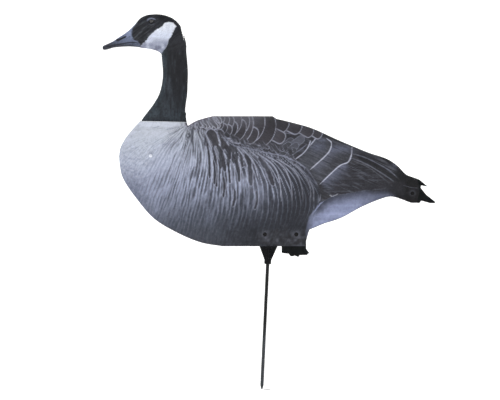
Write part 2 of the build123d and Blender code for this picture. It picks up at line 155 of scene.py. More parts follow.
bird_middle = (0.0, 0.0, 0.25)
for lamp_name, lamp_place, lamp_size, lamp_power in (
    ("key", (-2.6, -3.4, 3.0), 2.4, 41), ("fill", (3.2, -2.6, 1.4), 2.6, 11),
    ("back", (0.5, 3.8, 2.6), 2.6, 22), ("top", (0.0, 0.0, 4.2), 3.0, 18),
):
    area_light(lamp_name, lamp_place, bird_middle, lamp_size, lamp_power)
world = bpy.data.worlds.new("studio")
bpy.context.scene.world = world
world.use_nodes = True
sky = world.node_tree.nodes["Background"]
sky.inputs["Color"].default_value = (1, 1, 1, 1)
sky.inputs["Strength"].default_value = sky_strength
bpy.context.scene.view_settings.view_transform = "Standard"

# %% [markdown]
# ## The bowed sheet
# Each side is a thin sheet that starts and ends near the mid-plane and stands out in between. A grid of
# columns from breast to tail, each running from the lower cut edge to the upper one, follows the cut
# outline exactly. The bow is a formula of where a point lies between two smooth guide lines, the same
# idea as in the engineering model, so the rivets and the hoop meet the sheet.

# %% Guide lines and the bow
upper_guide = [
    (-0.03, 0.72), (0.0, 0.80), (0.030, 0.93), (0.066, 1.03), (0.105, 1.10), (0.139, 1.075),
    (0.179, 1.010), (0.217, 0.978), (0.255, 0.985), (0.295, 1.004), (0.40, 1.004), (0.485, 1.004),
    (0.547, 0.960), (0.612, 0.913), (0.694, 0.824), (0.784, 0.735), (0.845, 0.68), (0.880, 0.625),
    (0.91, 0.56), (0.96, 0.53), (1.03, 0.45),
]
lower_guide = [
    (-0.03, 0.66), (0.0, 0.58), (0.03, 0.44), (0.066, 0.33), (0.11, 0.20), (0.184, 0.085),
    (0.257, 0.015), (0.33, -0.02), (0.46, -0.02), (0.59, -0.02), (0.645, 0.03), (0.70, 0.11),
    (0.77, 0.24), (0.84, 0.345), (0.90, 0.345), (0.96, 0.30), (1.03, 0.28),
]


def smooth_line(points, steps=24):
    """Dense points along a smooth curve through the given ones (Catmull-Rom)."""
    p = np.asarray(points, float)
    padded = np.vstack([2 * p[0] - p[1], p, 2 * p[-1] - p[-2]])
    out = []
    for i in range(len(p) - 1):
        a, b, c, d = padded[i:i + 4]
        u = np.linspace(0, 1, steps, endpoint=False)[:, None]
        out.append(0.5 * (2 * b + (c - a) * u + (2 * a - 5 * b + 4 * c - d) * u**2
                          + (3 * b - a - 3 * c + d) * u**3))
    return np.vstack(out + [p[-1:]])


def read_line(points, share):
    """Height share of a line of increasing length shares, read at any length shares."""
    return np.interp(share, points[:, 0], points[:, 1])


guide_up, guide_down = smooth_line(upper_guide), smooth_line(lower_guide)
lower_power, upper_power = 1.8, 0.9
peak = lower_power / (lower_power + upper_power)


def side_y(x, z):
    """Distance from the mid-plane to the outer face of the bowed side, in metres."""
    share = np.clip((x - breast_x) / body_length, 0, 1)
    low = belly_z + body_height * read_line(guide_down, share)
    high = belly_z + body_height * read_line(guide_up, share)
    t = np.clip((z - low) / (high - low), 0, 1)
    swell = (t / peak) ** lower_power * ((1 - t) / (1 - peak)) ** upper_power
    bow = body_bow * np.sin(math.pi * share**0.85) ** 2 * (1 - share**8)
    return edge_gap + bow * swell


# %% [markdown]
# The cut outline is two lines of a few points each, from breast to tail. Corners, such as the notch
# behind the neck, the ends of the fold and the step behind the feet, stay sharp because their stretches
# are straight.

# %% The cut outline
upper_cut = np.vstack([
    smooth_line([(0.0, 0.690), (0.006, 0.765), (0.029, 0.857), (0.067, 0.961)]),
    [(0.140, 0.957), (0.2135, 0.953), (0.217, 0.9226)],
    smooth_line([(0.2175, 0.9226), (0.237, 0.953), (0.255, 0.972), (0.294, 0.998)]),
    [(0.295, 1.0), (0.485, 1.0)],
    smooth_line([(0.497, 0.978), (0.547, 0.9495), (0.612, 0.9035), (0.694, 0.814), (0.784, 0.723),
                 (0.8445, 0.673), (0.879, 0.619), (0.908, 0.550), (0.944, 0.517)]),
    [(0.949, 0.420)],
])
lower_cut = np.vstack([
    smooth_line([(0.0, 0.690), (0.003, 0.615), (0.013, 0.520), (0.051, 0.380), (0.110, 0.214),
                 (0.184, 0.104), (0.257, 0.030), (0.326, 0.0)]),
    [(0.5885, 0.0), (0.591, 0.045), (0.601, 0.127)],
    smooth_line([(0.646, 0.173), (0.702, 0.219), (0.769, 0.306), (0.832, 0.368), (0.8635, 0.381),
                 (0.897, 0.3575), (0.922, 0.3345), (0.941, 0.3335)]),
    [(0.949, 0.419)],
])

# %% [markdown]
# Both halves share one grid. It is denser near the breast and near the fold, where the form turns most.
# The top edge closes to the mid-plane along the fold, so the two halves meet there in one rounded crease.

# %% Grid of one half
fold_from, fold_to = 0.295, 0.485
columns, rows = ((449, 185))
share = (np.arange(columns) / (columns - 1)) ** 1.15 * upper_cut[-1, 0]
low_edge = belly_z + body_height * read_line(lower_cut, share)
high_edge = belly_z + body_height * read_line(upper_cut, share)
rise = 1 - (1 - np.linspace(0, 1, rows)[:, None]) ** 1.25
grid_z = low_edge + (high_edge - low_edge) * rise
grid_x = np.broadcast_to(breast_x + share * body_length, grid_z.shape)
grid_y = side_y(grid_x, grid_z)
fold_radius = 9 * MM
in_fold = (share > fold_from - 0.001) & (share < fold_to + 0.001)
turn = np.clip((grid_z - (high_edge - fold_radius)) / fold_radius, 0, 1)
grid_y = np.where(in_fold, grid_y * np.sqrt(1 - turn**2), grid_y)
outer = np.stack([grid_x, grid_y, grid_z], axis=-1)
print("grid", columns, "x", rows, "widest", round(float(grid_y.max()), 4))

# %% [markdown]
# ## Painting the plumage
# On the real decoy the plumage is printed ink on flat plastic. Here it is painted the same way a sign
# painter would: a pale ground, washes of colour, then feathers and fine lines on top. Every vertex of
# the grid takes a colour, and the places are shares of the body's length and height, so the painting
# scales with the body.

# %% Paint kit: soft noise and tones
def soft_noise(x, z, seed):
    """Smooth random values from -1 to 1, one cell for each unit of x and z."""
    lattice = np.random.default_rng(seed).uniform(-1, 1, (256, 256))
    column, row = np.floor(x).astype(int), np.floor(z).astype(int)
    fx, fz = x - column, z - row
    fx, fz = fx * fx * (3 - 2 * fx), fz * fz * (3 - 2 * fz)
    corner = [lattice[(row + i) % 256, (column + j) % 256] for i in (0, 1) for j in (0, 1)]
    return (corner[0] * (1 - fx) + corner[1] * fx) * (1 - fz) + (corner[2] * (1 - fx) + corner[3] * fx) * fz


def tones(places, colours, value):
    """Colours (0 to 255) read along a scale of places."""
    colours = np.asarray(colours, float)
    return np.stack([np.interp(value, places, colours[:, i]) for i in range(3)], axis=-1)


def turned(x, z, angle):
    """Coordinates along and across a direction, given by its angle in radians."""
    c, s = np.cos(angle), np.sin(angle)
    return x * c + z * s, -x * s + z * c


def to_linear(colour):
    """Display colour (0 to 255) to the linear light that shaders use."""
    c = np.clip(colour / 255, 0, 1)
    return np.where(c <= 0.04045, c / 12.92, ((c + 0.055) / 1.055) ** 2.4)


# %% Paint kit: brushes
class Canvas:
    """Points to be painted, in millimetres along and up; brushes take places as shares of a size."""

    def __init__(self, x, z, size):
        self.x, self.z, self.size = x, z, size
        self.colour = np.zeros(x.shape + (3,))
        self.cloud = soft_noise(x / 30, z / 30, 1)
        self.mottle = soft_noise(x / 7, z / 7, 2)
        self.grain = soft_noise(x / 2.6, z / 2.6, 3)

    def lay(self, colour, cover):
        """Lays a colour (0 to 255) where the cover is above 0."""
        cover = np.clip(cover, 0, 1)[..., None]
        self.colour = self.colour * (1 - cover) + np.asarray(colour, float) * cover

    def from_line(self, points):
        """Distance to a line, the share of it at the nearest place, and the side of it (1 is left)."""
        p = np.asarray(points, float) * self.size
        best = np.full(self.x.shape, 1e9)
        along, side = np.zeros(self.x.shape), np.zeros(self.x.shape)
        runs = np.hypot(*np.diff(p, axis=0).T)
        total, done = runs.sum(), 0.0
        for a, b, run in zip(p, p[1:], runs):
            dx, dz = (b - a) / run
            t = np.clip((self.x - a[0]) * dx + (self.z - a[1]) * dz, 0, run)
            away = np.hypot(self.x - a[0] - t * dx, self.z - a[1] - t * dz)
            near = away < best
            best = np.where(near, away, best)
            along = np.where(near, (done + t) / total, along)
            side = np.where(near, np.sign(dx * (self.z - a[1]) - dz * (self.x - a[0])), side)
            done += run
        return best, along, side

    def line(self, points, width, colour, strength=1.0, thin_start=0.35, thin_end=0.35):
        """A brush line of a width in millimetres, thinner at its ends and a little uneven."""
        away, along, _ = self.from_line(smooth_line(points, 8))
        fullness = np.clip(np.minimum(thin_start + along * 6, thin_end + (1 - along) * 6), 0, 1)
        wide = width * fullness * (1 + 0.25 * self.mottle)
        self.lay(colour, strength * np.clip((wide / 2 - away) / 1.1 + 0.5, 0, 1))

    def beside(self, points, side, reach, colour, strength):
        """A wash that starts at a line and fades out on one side of it."""
        away, along, where = self.from_line(smooth_line(points, 8))
        ends = np.clip(np.minimum(along, 1 - along) * 8, 0, 1)
        self.lay(colour, strength * ends * (where == side) * np.exp(-((away / reach) ** 2)))

    def inside(self, points):
        """True inside a closed outline."""
        p = np.asarray(points, float) * self.size
        within = np.zeros(self.x.shape, bool)
        for (x0, z0), (x1, z1) in zip(p, np.roll(p, -1, axis=0)):
            if z0 != z1:
                crosses = (z0 > self.z) != (z1 > self.z)
                within ^= crosses & (self.x < x0 + (self.z - z0) / (z1 - z0) * (x1 - x0))
        return within

    def fill(self, points, colour, strength=1.0, soft=3.0, ragged=0.0):
        """A filled outline with a soft edge, which may be ragged by some millimetres."""
        away, _, _ = self.from_line(list(points) + [points[0]])
        depth = np.where(self.inside(points), away, -away) + ragged * self.grain
        self.lay(colour, strength * np.clip(0.5 + depth / soft, 0, 1))

    def wash(self, place, reach, colour, strength):
        """A round soft wash; its reach is in millimetres along and up."""
        x, z = np.asarray(place) * self.size
        spread = ((self.x - x) / reach[0]) ** 2 + ((self.z - z) / reach[1]) ** 2
        self.lay(colour, strength * np.exp(-spread))

    def feather(self, tip, angle, length, width, vane=(71, 70, 75), rim_tone=(158, 162, 184), rim=2.2,
                roundness=0.55, sheen=0.25):
        """A rounded feather with its tip at a place, pointing at an angle (degrees, 0 towards the tail)."""
        x, z = np.asarray(tip) * self.size
        c, s = math.cos(math.radians(angle)), math.sin(math.radians(angle))
        back = -((self.x - x) * c + (self.z - z) * s)
        across = (self.z - z) * c - (self.x - x) * s
        half, tip_length = width / 2, width * roundness
        ring = np.hypot(np.clip((tip_length - back) / tip_length, 0, None), across / half)
        depth = (1 - ring) * min(half, tip_length) * (1 + 0.10 * self.mottle)
        shape = np.clip(depth / 0.9 + 0.5, 0, 1) * (back > -1)
        shape = shape * np.clip((length - back) / (0.45 * length), 0, 1)
        tone = np.asarray(vane, float) * (1 + 0.10 * self.cloud + 0.07 * self.grain)[..., None]
        tone = tone + sheen * (np.clip(back / length, 0, 1) ** 1.5)[..., None] * np.array([54, 57, 69])
        self.colour = self.colour * (1 - shape[..., None]) + tone * shape[..., None]
        rim_cover = np.clip(1.25 - np.abs(depth - rim * 0.45) / (rim * 0.62), 0, 1) * shape
        self.lay(rim_tone, rim_cover * (0.86 + 0.14 * self.mottle))


length_mm, height_mm = body_length / MM, body_height / MM
sheet = Canvas((grid_x - breast_x) / MM, (grid_z - belly_z) / MM, (length_mm, height_mm))
u, v = sheet.x / length_mm, sheet.z / height_mm
print("canvas", round(length_mm), "x", round(height_mm), "mm")

# %% [markdown]
# ### Breast, flank and belly
# The flank of the real bird is barred: dark feathers with pale tips, so from the side the tips read as
# long pale lines that fan out from the shoulder. A family of guide curves carries them. Each
# place on the canvas gets a number that counts bars from the breast backwards, and the bars are painted
# from that number.

# %% Ground tones and bars
bar_guides = [  # from the shoulder down, as shares of length and height; the first number counts the bars
    (0.0, [(0.216, 0.926), (0.181, 0.857), (0.137, 0.742), (0.099, 0.588), (0.076, 0.434), (0.060, 0.30)]),
    (6.0, [(0.220, 0.911), (0.206, 0.780), (0.181, 0.627), (0.155, 0.473), (0.130, 0.319), (0.105, 0.16)]),
    (12.0, [(0.231, 0.896), (0.231, 0.742), (0.219, 0.588), (0.203, 0.434), (0.187, 0.281), (0.160, 0.05)]),
    (18.0, [(0.257, 0.873), (0.276, 0.742), (0.276, 0.588), (0.266, 0.434), (0.253, 0.281), (0.225, 0.02)]),
    (25.0, [(0.295, 0.840), (0.323, 0.704), (0.339, 0.588), (0.342, 0.434), (0.336, 0.281), (0.308, 0.0)]),
    (30.0, [(0.339, 0.796), (0.377, 0.680), (0.399, 0.565), (0.408, 0.434), (0.402, 0.281), (0.375, 0.0)]),
    (34.5, [(0.383, 0.757), (0.421, 0.688), (0.453, 0.588), (0.475, 0.450), (0.478, 0.281), (0.448, 0.0)]),
    (38.0, [(0.430, 0.727), (0.472, 0.650), (0.506, 0.527), (0.528, 0.373), (0.525, 0.204), (0.492, 0.0)]),
    (41.5, [(0.478, 0.700), (0.522, 0.627), (0.560, 0.511), (0.576, 0.396), (0.575, 0.250), (0.520, 0.0)]),
    (44.0, [(0.525, 0.669), (0.566, 0.581), (0.601, 0.457), (0.614, 0.365), (0.605, 0.230), (0.545, 0.0)]),
    (45.5, [(0.560, 0.638), (0.595, 0.542), (0.626, 0.434), (0.634, 0.373), (0.622, 0.250), (0.565, 0.0)]),
]
curves = [smooth_line(points, 10) for _, points in bar_guides]
counts = np.array([count for count, _ in bar_guides])
guide_u = np.stack([np.interp(v, curve[::-1, 1], curve[::-1, 0]) for curve in curves])
guide_u = np.maximum.accumulate(guide_u + np.arange(len(curves))[:, None, None] * 1e-4, axis=0)
step = np.clip((guide_u <= u).sum(axis=0), 1, len(curves) - 1)
left_u = np.take_along_axis(guide_u, step[None] - 1, 0)[0]
right_u = np.take_along_axis(guide_u, step[None], 0)[0]
part_way = np.clip((u - left_u) / (right_u - left_u), -4, 1.3)
bars = counts[step - 1] + part_way * (counts[step] - counts[step - 1])
zone = np.where(bars < 0, bars, np.interp(bars, counts,
                                          [0, 5, 10, 14.5, 19, 22.5, 26, 28.5, 30.8, 32.5, 33.6]))
bars = bars + np.interp(zone, [0, 20, 28], [0.26, 0.26, 0.10]) * soft_noise(sheet.x / 14, sheet.z / 38, 4)
print("bars", round(float(bars.min()), 1), "to", round(float(bars.max()), 1))

# Painted shade: the ground tones grow darker towards the belly, as the printed plumage shows it.
pale = tones([0.0, 0.10, 0.2, 0.32, 0.45, 0.6, 0.75, 0.96],
             [(70, 73, 82), (76, 80, 91), (92, 97, 112), (126, 132, 152), (156, 163, 186),
              (174, 181, 203), (184, 191, 210), (204, 210, 223)], v + 0.02 * sheet.cloud)
deep = tones([0.0, 0.12, 0.3, 0.6, 0.9],
             [(56, 59, 66), (48, 51, 57), (52, 54, 62), (60, 61, 70), (60, 61, 68)], v)
front_fade = tones([0.0, 0.10, 0.22, 0.36, 0.48, 0.6, 0.8, 0.96],
                   [(62, 66, 77), (72, 76, 89), (98, 104, 123), (128, 135, 156), (150, 157, 178),
                    (174, 181, 201), (194, 201, 216), (206, 212, 225)],
                   v + 0.05 * sheet.cloud + 0.35 * (u - 0.1))
sheet.colour = front_fade.copy()
number = np.floor(bars)
each_bar = soft_noise(number * 7.3 + 0.5, sheet.z / 24, 6)
duty = np.interp(zone, [0, 6, 14, 20, 25, 29, 34], [0.36, 0.46, 0.60, 0.70, 0.80, 0.85, 0.88])
duty = duty + each_bar * np.interp(zone, [0, 20, 29], [0.20, 0.16, 0.05])
contrast = np.interp(zone, [-4, 0, 5, 10, 15, 20, 26, 34], [0.0, 0.28, 0.54, 0.70, 0.80, 0.88, 0.97, 1.0])
contrast = contrast * np.interp(v, [0.05, 0.16, 0.32, 0.5], [0.35, 0.55, 0.88, 1.0])
place_in_bar = bars - number
edge = np.interp(zone, [0, 15, 25, 34], [0.20, 0.15, 0.10, 0.07])
dark = np.clip((place_in_bar - (1 - duty)) / edge + 0.5, 0, 1) * np.clip((1 - place_in_bar) / edge + 0.2, 0,
                                                                         1)
broken = np.clip(0.55 + 1.6 * soft_noise(number * 3.1, sheet.z / 26, 7), 0, 1)
dark = dark * (1 - broken * np.interp(zone, [4, 16, 25, 29], [0.80, 0.55, 0.30, 0.0]))
streaks = soft_noise(bars * 1.9 + 0.4 * number, sheet.z / 24, 12) + 0.7 * soft_noise(bars * 3.4,
                                                                                     sheet.z / 13, 13)
strip = np.interp(zone, [-2, 3, 12, 22, 27, 30], [0.0, 0.25, 0.42, 0.50, 0.22, 0.06])
dark = np.clip(dark + strip * np.clip(streaks * 1.6, -0.6, 1.0), 0, 1)
spacing = (right_u - left_u) * length_mm / (counts[step] - counts[step - 1])
clarity = np.clip((spacing - 3.0) / 3.5, 0, 1)
dark = dark * clarity + (0.45 + 0.4 * streaks).clip(0, 1) * (1 - clarity)
on_flank = np.clip((bars + 3) / 4, 0, 1)
barred = pale * (1 - (contrast * dark)[..., None]) + deep * (contrast * dark)[..., None]
glint = np.clip(1.15 - np.abs(place_in_bar - (0.5 * (1 - duty))) / 0.16, 0, 1) * np.interp(v, [0.1, 0.3],
                                                                                           [0.1, 1.0])
barred = barred + 8 * (glint * (1 - dark))[..., None]
sheet.colour = sheet.colour * (1 - on_flank[..., None]) + barred * on_flank[..., None]
print("barred share of the canvas", round(float((dark > 0.5).mean()), 2))

# %% [markdown]
# Between the bars the breast carries short fine dashes, and a few bars near the shoulder are broad and
# smooth. Painted shade darkens the breast where it turns under, and the colour is darker along the cut edge.

# %% Breast dashes and broad shoulder feathers
dash_turn = np.interp(u, [0.0, 0.09, 0.16], [-0.45, 0.1, 0.7])
dash_x, dash_z = turned(sheet.x, sheet.z, dash_turn)
dashes = soft_noise(dash_x / 13, dash_z / 3.6, 8) + 0.6 * soft_noise(dash_x / 7, dash_z / 2.4, 9)
strength = np.interp(v, [0.1, 0.45, 0.7, 0.95], [0.46, 0.40, 0.26, 0.10]) * np.clip(1.5 - (bars + 3) / 4, 0,
                                                                                    1)
sheet.lay((112, 118, 140), np.clip(dashes - 0.25, 0, 1) * strength * 1.5)
sheet.lay((222, 226, 236), np.clip(-dashes - 0.35, 0, 1) * strength)
# Painted shade: the first two washes darken the low front of the breast, where it turns under.
for place, reach, tone, strength in (
    ((0.040, 0.45), (34, 22), (104, 109, 130), 0.50),
    ((0.075, 0.36), (20, 11), (92, 97, 116), 0.35),
    ((0.105, 0.40), (16, 18), (160, 167, 190), 0.45),
    ((0.118, 0.30), (9, 22), (150, 157, 182), 0.30),
    ((0.020, 0.80), (30, 50), (208, 213, 226), 0.25),
    ((0.130, 0.880), (60, 16), (216, 220, 231), 0.30),
):
    sheet.wash(place, reach, tone, strength)
for place in ((0.165, 0.905), (0.150, 0.785), (0.120, 0.915)):
    sheet.line([(place[0] - 0.014, place[1] - 0.010), place, (place[0] + 0.008, place[1] + 0.004)], 1.8,
               (128, 134, 156), 0.5)
for tip, angle, length, width in (
    ((0.352, 0.660), -86, 50, 9), ((0.329, 0.700), -86, 46, 8), ((0.300, 0.720), -88, 40, 7),
    ((0.275, 0.760), -86, 34, 7), ((0.392, 0.600), -80, 56, 9),
):
    sheet.feather(tip, angle, length, width, vane=(66, 66, 73), rim_tone=(160, 165, 188), rim=1.5, sheen=0.05)
for points in (
    [(0.354, 0.764), (0.381, 0.642), (0.386, 0.527)], [(0.373, 0.757), (0.404, 0.642), (0.412, 0.500)],
    [(0.388, 0.751), (0.425, 0.642), (0.441, 0.514)], [(0.409, 0.738), (0.457, 0.629), (0.478, 0.501)],
    [(0.430, 0.719), (0.488, 0.616), (0.507, 0.488), (0.512, 0.347)],
    [(0.462, 0.693), (0.515, 0.616), (0.541, 0.488), (0.546, 0.347)],
    [(0.499, 0.668), (0.552, 0.578), (0.575, 0.463), (0.581, 0.334)],
    [(0.546, 0.642), (0.583, 0.552), (0.602, 0.450), (0.604, 0.334)],
    [(0.599, 0.514), (0.612, 0.437), (0.614, 0.347)], [(0.623, 0.501), (0.635, 0.424), (0.633, 0.347)],
):
    sheet.line(points, 5.5, (62, 62, 69), 0.55)
    sheet.line(points, 2.5, (184, 189, 210), 0.85)
for points, width in (
    ([(0.399, 0.706), (0.412, 0.629), (0.417, 0.475)], 10),
                      ([(0.441, 0.680), (0.470, 0.578), (0.486, 0.475)], 10),
    ([(0.296, 0.757), (0.307, 0.642), (0.309, 0.463)], 6),
                      ([(0.322, 0.744), (0.330, 0.667), (0.336, 0.578)], 8),
    ([(0.278, 0.808), (0.286, 0.680), (0.287, 0.527)], 5),
                      ([(0.346, 0.642), (0.349, 0.552), (0.351, 0.488)], 5),
    ([(0.368, 0.660), (0.378, 0.570), (0.380, 0.500)], 7),
                      ([(0.300, 0.660), (0.304, 0.560), (0.302, 0.480)], 5),
    ([(0.330, 0.540), (0.334, 0.460), (0.330, 0.380)], 5),
    ([(0.434, 0.430), (0.436, 0.350), (0.430, 0.290)], 5),
                      ([(0.366, 0.440), (0.366, 0.370), (0.360, 0.310)], 5),
):
    sheet.line(points, width + 5, (172, 177, 199), 0.6, 0.3, 0.7)
    sheet.line(points, width, (58, 58, 65), 0.95, 0.3, 0.7)
print("shoulder feathers laid")

# %% [markdown]
# ### Back and wing
# The back is laid like roof tiles, each feather over the base of the one behind it. So the painter works
# from the tail forwards, and every new feather covers part of the last one. The tips read as pale arcs.

# %% Ground of the wing and back
flank_top = [(0.216, 0.925), (0.250, 0.905), (0.298, 0.873), (0.340, 0.808), (0.363, 0.765), (0.399, 0.748),
             (0.443, 0.722), (0.497, 0.688), (0.547, 0.652), (0.592, 0.588), (0.623, 0.488), (0.636, 0.400)]
wing_outline = flank_top + [(0.640, 0.340), (0.674, 0.377), (0.721, 0.406), (0.784, 0.436), (0.882, 0.452),
                            (0.96, 0.45), (0.96, 0.60), (0.60, 1.02), (0.45, 1.1), (0.216, 1.05)]
sheet.fill(wing_outline, (63, 63, 69), 1.0, 3.0)
wing = np.clip(sheet.inside(wing_outline) * 1.0, 0, 1)
sheet.lay((50, 50, 55), wing * np.clip(0.5 * sheet.cloud + 0.1, 0, 0.5))
sheet.fill([(0.628, 0.500), (0.644, 0.300), (0.600, 0.215), (0.560, 0.02), (0.640, 0.02), (0.700, 0.35),
            (0.66, 0.385)], (52, 52, 56), 0.9, 8.0)
print("wing covers", round(float(wing.mean()), 2), "of the canvas")

# %% Primaries, secondaries and coverts
wing_slope = -0.42
slant_x, slant_z = turned(sheet.x, sheet.z, wing_slope)
fine = soft_noise(slant_x / 30, slant_z / 1.9, 10)
level = soft_noise(sheet.x / 40, sheet.z / 2.1, 11)
secondary_panel = [(0.632, 0.474), (0.692, 0.610), (0.722, 0.640), (0.780, 0.620), (0.844, 0.530),
                   (0.880, 0.455),
                   (0.784, 0.436), (0.721, 0.406), (0.655, 0.395)]
sheet.fill(secondary_panel, (50, 50, 56), 1.0, 3.0)
panel = sheet.inside(secondary_panel)
sheet.lay((80, 82, 92), panel * np.clip(level * 0.8, 0, 0.6))
sheet.lay((42, 42, 46), panel * np.clip(-level * 0.9, 0, 0.8))
# Painted sheen: a bluish wash beside the pale line at the foot of the coverts.
sheet.beside([(0.632, 0.474), (0.692, 0.610), (0.725, 0.645)], -1, 22, (112, 117, 140), 0.75)
sheet.fill([(0.734, 0.720), (0.790, 0.690), (0.860, 0.610), (0.915, 0.480), (0.880, 0.455), (0.840, 0.530),
            (0.783, 0.620)], (40, 40, 44), 0.95, 3.0)
covert_panel = [(0.670, 0.794), (0.735, 0.743), (0.733, 0.684), (0.720, 0.640), (0.692, 0.610),
                (0.632, 0.474),
                (0.601, 0.584), (0.647, 0.684), (0.665, 0.736)]
sheet.fill(covert_panel, (64, 65, 71), 1.0, 3.0)
# Painted sheen: bluish washes beside this line and on the covert panel.
sheet.beside([(0.601, 0.584), (0.647, 0.684), (0.665, 0.736), (0.670, 0.794)], -1, 18, (112, 116, 136), 0.65)
sheet.wash((0.700, 0.745), (28, 10), (118, 123, 146), 0.7)
second_panel = [(0.623, 0.842), (0.656, 0.823), (0.670, 0.794), (0.665, 0.736), (0.647, 0.684),
                (0.601, 0.584),
                (0.560, 0.640), (0.593, 0.760)]
sheet.fill(second_panel, (76, 78, 86), 1.0, 3.0)
# Painted sheen: bluish washes on the upper covert panel.
sheet.wash((0.625, 0.760), (18, 12), (112, 117, 140), 0.65)
sheet.wash((0.640, 0.815), (12, 5), (112, 117, 140), 0.55)
sheet.lay((104, 107, 120), wing * (u > 0.56) * np.clip(fine - 0.25, 0, 0.5))
sheet.lay((52, 52, 56), wing * (u > 0.56) * np.clip(-fine - 0.3, 0, 0.5))
sheet.fill([(0.630, 0.880), (0.661, 0.855), (0.737, 0.775), (0.826, 0.690), (0.900, 0.520), (0.96, 0.46),
            (0.96, 0.60), (0.78, 0.80), (0.66, 0.93)], (36, 36, 40), 0.95, 4.0)
sheet.wash((0.872, 0.620), (10, 8), (120, 126, 150), 0.45)
sheet.lay((86, 88, 97), (u > 0.66) * (v > 0.66 - 0.9 * (u - 0.74)) * np.clip(fine - 0.35, 0, 0.35))
for points, width, tone in (
    ([(0.735, 0.760), (0.733, 0.700), (0.722, 0.645), (0.692, 0.610), (0.632, 0.474)], 2.5, (206, 210, 230)),
    ([(0.656, 0.826), (0.670, 0.794), (0.665, 0.736), (0.647, 0.684), (0.601, 0.584)], 2.6, (210, 214, 232)),
    ([(0.626, 0.842), (0.602, 0.770)], 2.3, (200, 204, 224)),
    ([(0.604, 0.810), (0.596, 0.758), (0.580, 0.710), (0.553, 0.660)], 2.3, (200, 204, 224)),
    ([(0.590, 0.775), (0.560, 0.720), (0.520, 0.678)], 2.2, (128, 132, 154)),
    ([(0.580, 0.825), (0.548, 0.780), (0.520, 0.755)], 2.2, (122, 127, 150)),
    ([(0.734, 0.711), (0.781, 0.677), (0.844, 0.596), (0.876, 0.534), (0.908, 0.455)], 3.0, (98, 101, 114)),
    ([(0.734, 0.676), (0.783, 0.627), (0.844, 0.537), (0.880, 0.475)], 2.8, (98, 101, 113)),
    ([(0.740, 0.655), (0.790, 0.600), (0.835, 0.520), (0.862, 0.468)], 1.8, (86, 88, 97)),
    ([(0.730, 0.745), (0.790, 0.715), (0.850, 0.640)], 1.6, (82, 84, 93)),
    ([(0.905, 0.462), (0.930, 0.450), (0.946, 0.446)], 2.0, (104, 107, 122)),
    ([(0.592, 0.545), (0.606, 0.510), (0.618, 0.480)], 1.8, (112, 116, 134)),
):
    sheet.line(points, width, tone, 0.92, 0.5, 0.25)
print("wing panels laid")

# %% Back feathers, tail to neck
for tip, angle, length, width, vane in (
    ((0.550, 0.822), 40, 40, 17, (84, 85, 94)), ((0.584, 0.838), 38, 46, 19, (98, 100, 112)),
    ((0.543, 0.790), 36, 34, 15, (76, 77, 84)), ((0.566, 0.786), 38, 34, 16, (88, 90, 100)),
    ((0.560, 0.745), 34, 34, 15, (76, 77, 84)), ((0.532, 0.735), 30, 30, 15, (72, 73, 80)),
):
    sheet.feather(tip, angle, length, width, vane=vane, rim_tone=(132, 136, 154), rim=1.3, sheen=0.1)
for tip, angle, length, width in (
    ((0.640, 0.842), -32, 46, 26), ((0.612, 0.858), -30, 50, 30), ((0.576, 0.892), -26, 54, 38),
    ((0.536, 0.918), -22, 56, 46), ((0.523, 0.812), -28, 40, 32), ((0.494, 0.878), -14, 70, 86),
    ((0.459, 0.900), -16, 60, 84), ((0.437, 0.822), -28, 48, 44), ((0.422, 0.884), -18, 56, 82),
    ((0.411, 0.915), -20, 40, 58), ((0.399, 0.862), -24, 44, 58), ((0.385, 0.912), -22, 40, 58),
    ((0.372, 0.868), -26, 36, 46), ((0.362, 0.925), -24, 34, 42), ((0.355, 0.858), -30, 34, 36),
    ((0.347, 0.938), -28, 28, 34), ((0.340, 0.878), -32, 28, 30), ((0.332, 0.955), -30, 26, 26),
    ((0.328, 0.905), -34, 26, 26),
):
    shade = rng.uniform(0.86, 1.08)
    sheet.feather(tip, angle, length, width, vane=(74 * shade, 72 * shade, 78 * shade),
                  rim=rng.uniform(1.5, 2.1),
                  rim_tone=(184, 188, 208), roundness=0.32)
sheet.line([(0.522, 0.868), (0.548, 0.860), (0.578, 0.866)], 1.5, (142, 146, 166), 0.8)
for row_start, row_end, count, width in (
    ((0.322, 0.975), (0.232, 0.940), 13, 17), ((0.320, 0.935), (0.226, 0.918), 15, 15),
    ((0.318, 0.900), (0.222, 0.895), 15, 12),
):
    for i in range(count):
        share_along = (i + rng.uniform(-0.3, 0.3)) / (count - 1)
        place = [a + (b - a) * share_along for a, b in zip(row_start, row_end)]
        size = width * (1.15 - 0.60 * share_along) * rng.uniform(0.75, 1.2)
        sheet.feather((place[0], place[1] + rng.uniform(-0.014, 0.014)), rng.uniform(-66, -34), size * 2.2,
                      size,
                      vane=(84, 83, 90), rim_tone=(206, 210, 228), rim=2.3, sheen=0.1)
for outline, crest in (
    ([(0.310, 0.895), (0.322, 0.893), (0.333, 0.862), (0.339, 0.805), (0.350, 0.745), (0.330, 0.740),
      (0.318, 0.830)],
     [(0.308, 0.890), (0.322, 0.895), (0.333, 0.865), (0.338, 0.805), (0.352, 0.760)]),
    ([(0.276, 0.860), (0.286, 0.896), (0.300, 0.892), (0.311, 0.856), (0.317, 0.790), (0.314, 0.762),
      (0.300, 0.770),
      (0.292, 0.800)],
     [(0.272, 0.856), (0.284, 0.896), (0.298, 0.894), (0.311, 0.858), (0.317, 0.796)]),
):
    sheet.fill(outline, (68, 67, 73), 0.95, 3.0)
    sheet.line(crest, 2.0, (176, 180, 202), 0.9)
sheet.line([(0.240, 0.880), (0.254, 0.890), (0.270, 0.872), (0.282, 0.830), (0.286, 0.780)], 1.8,
           (150, 154, 175), 0.7)
sheet.line([(0.352, 0.790), (0.366, 0.760), (0.372, 0.700), (0.372, 0.640)], 6.0, (62, 62, 69), 0.85, 0.4,
           0.6)
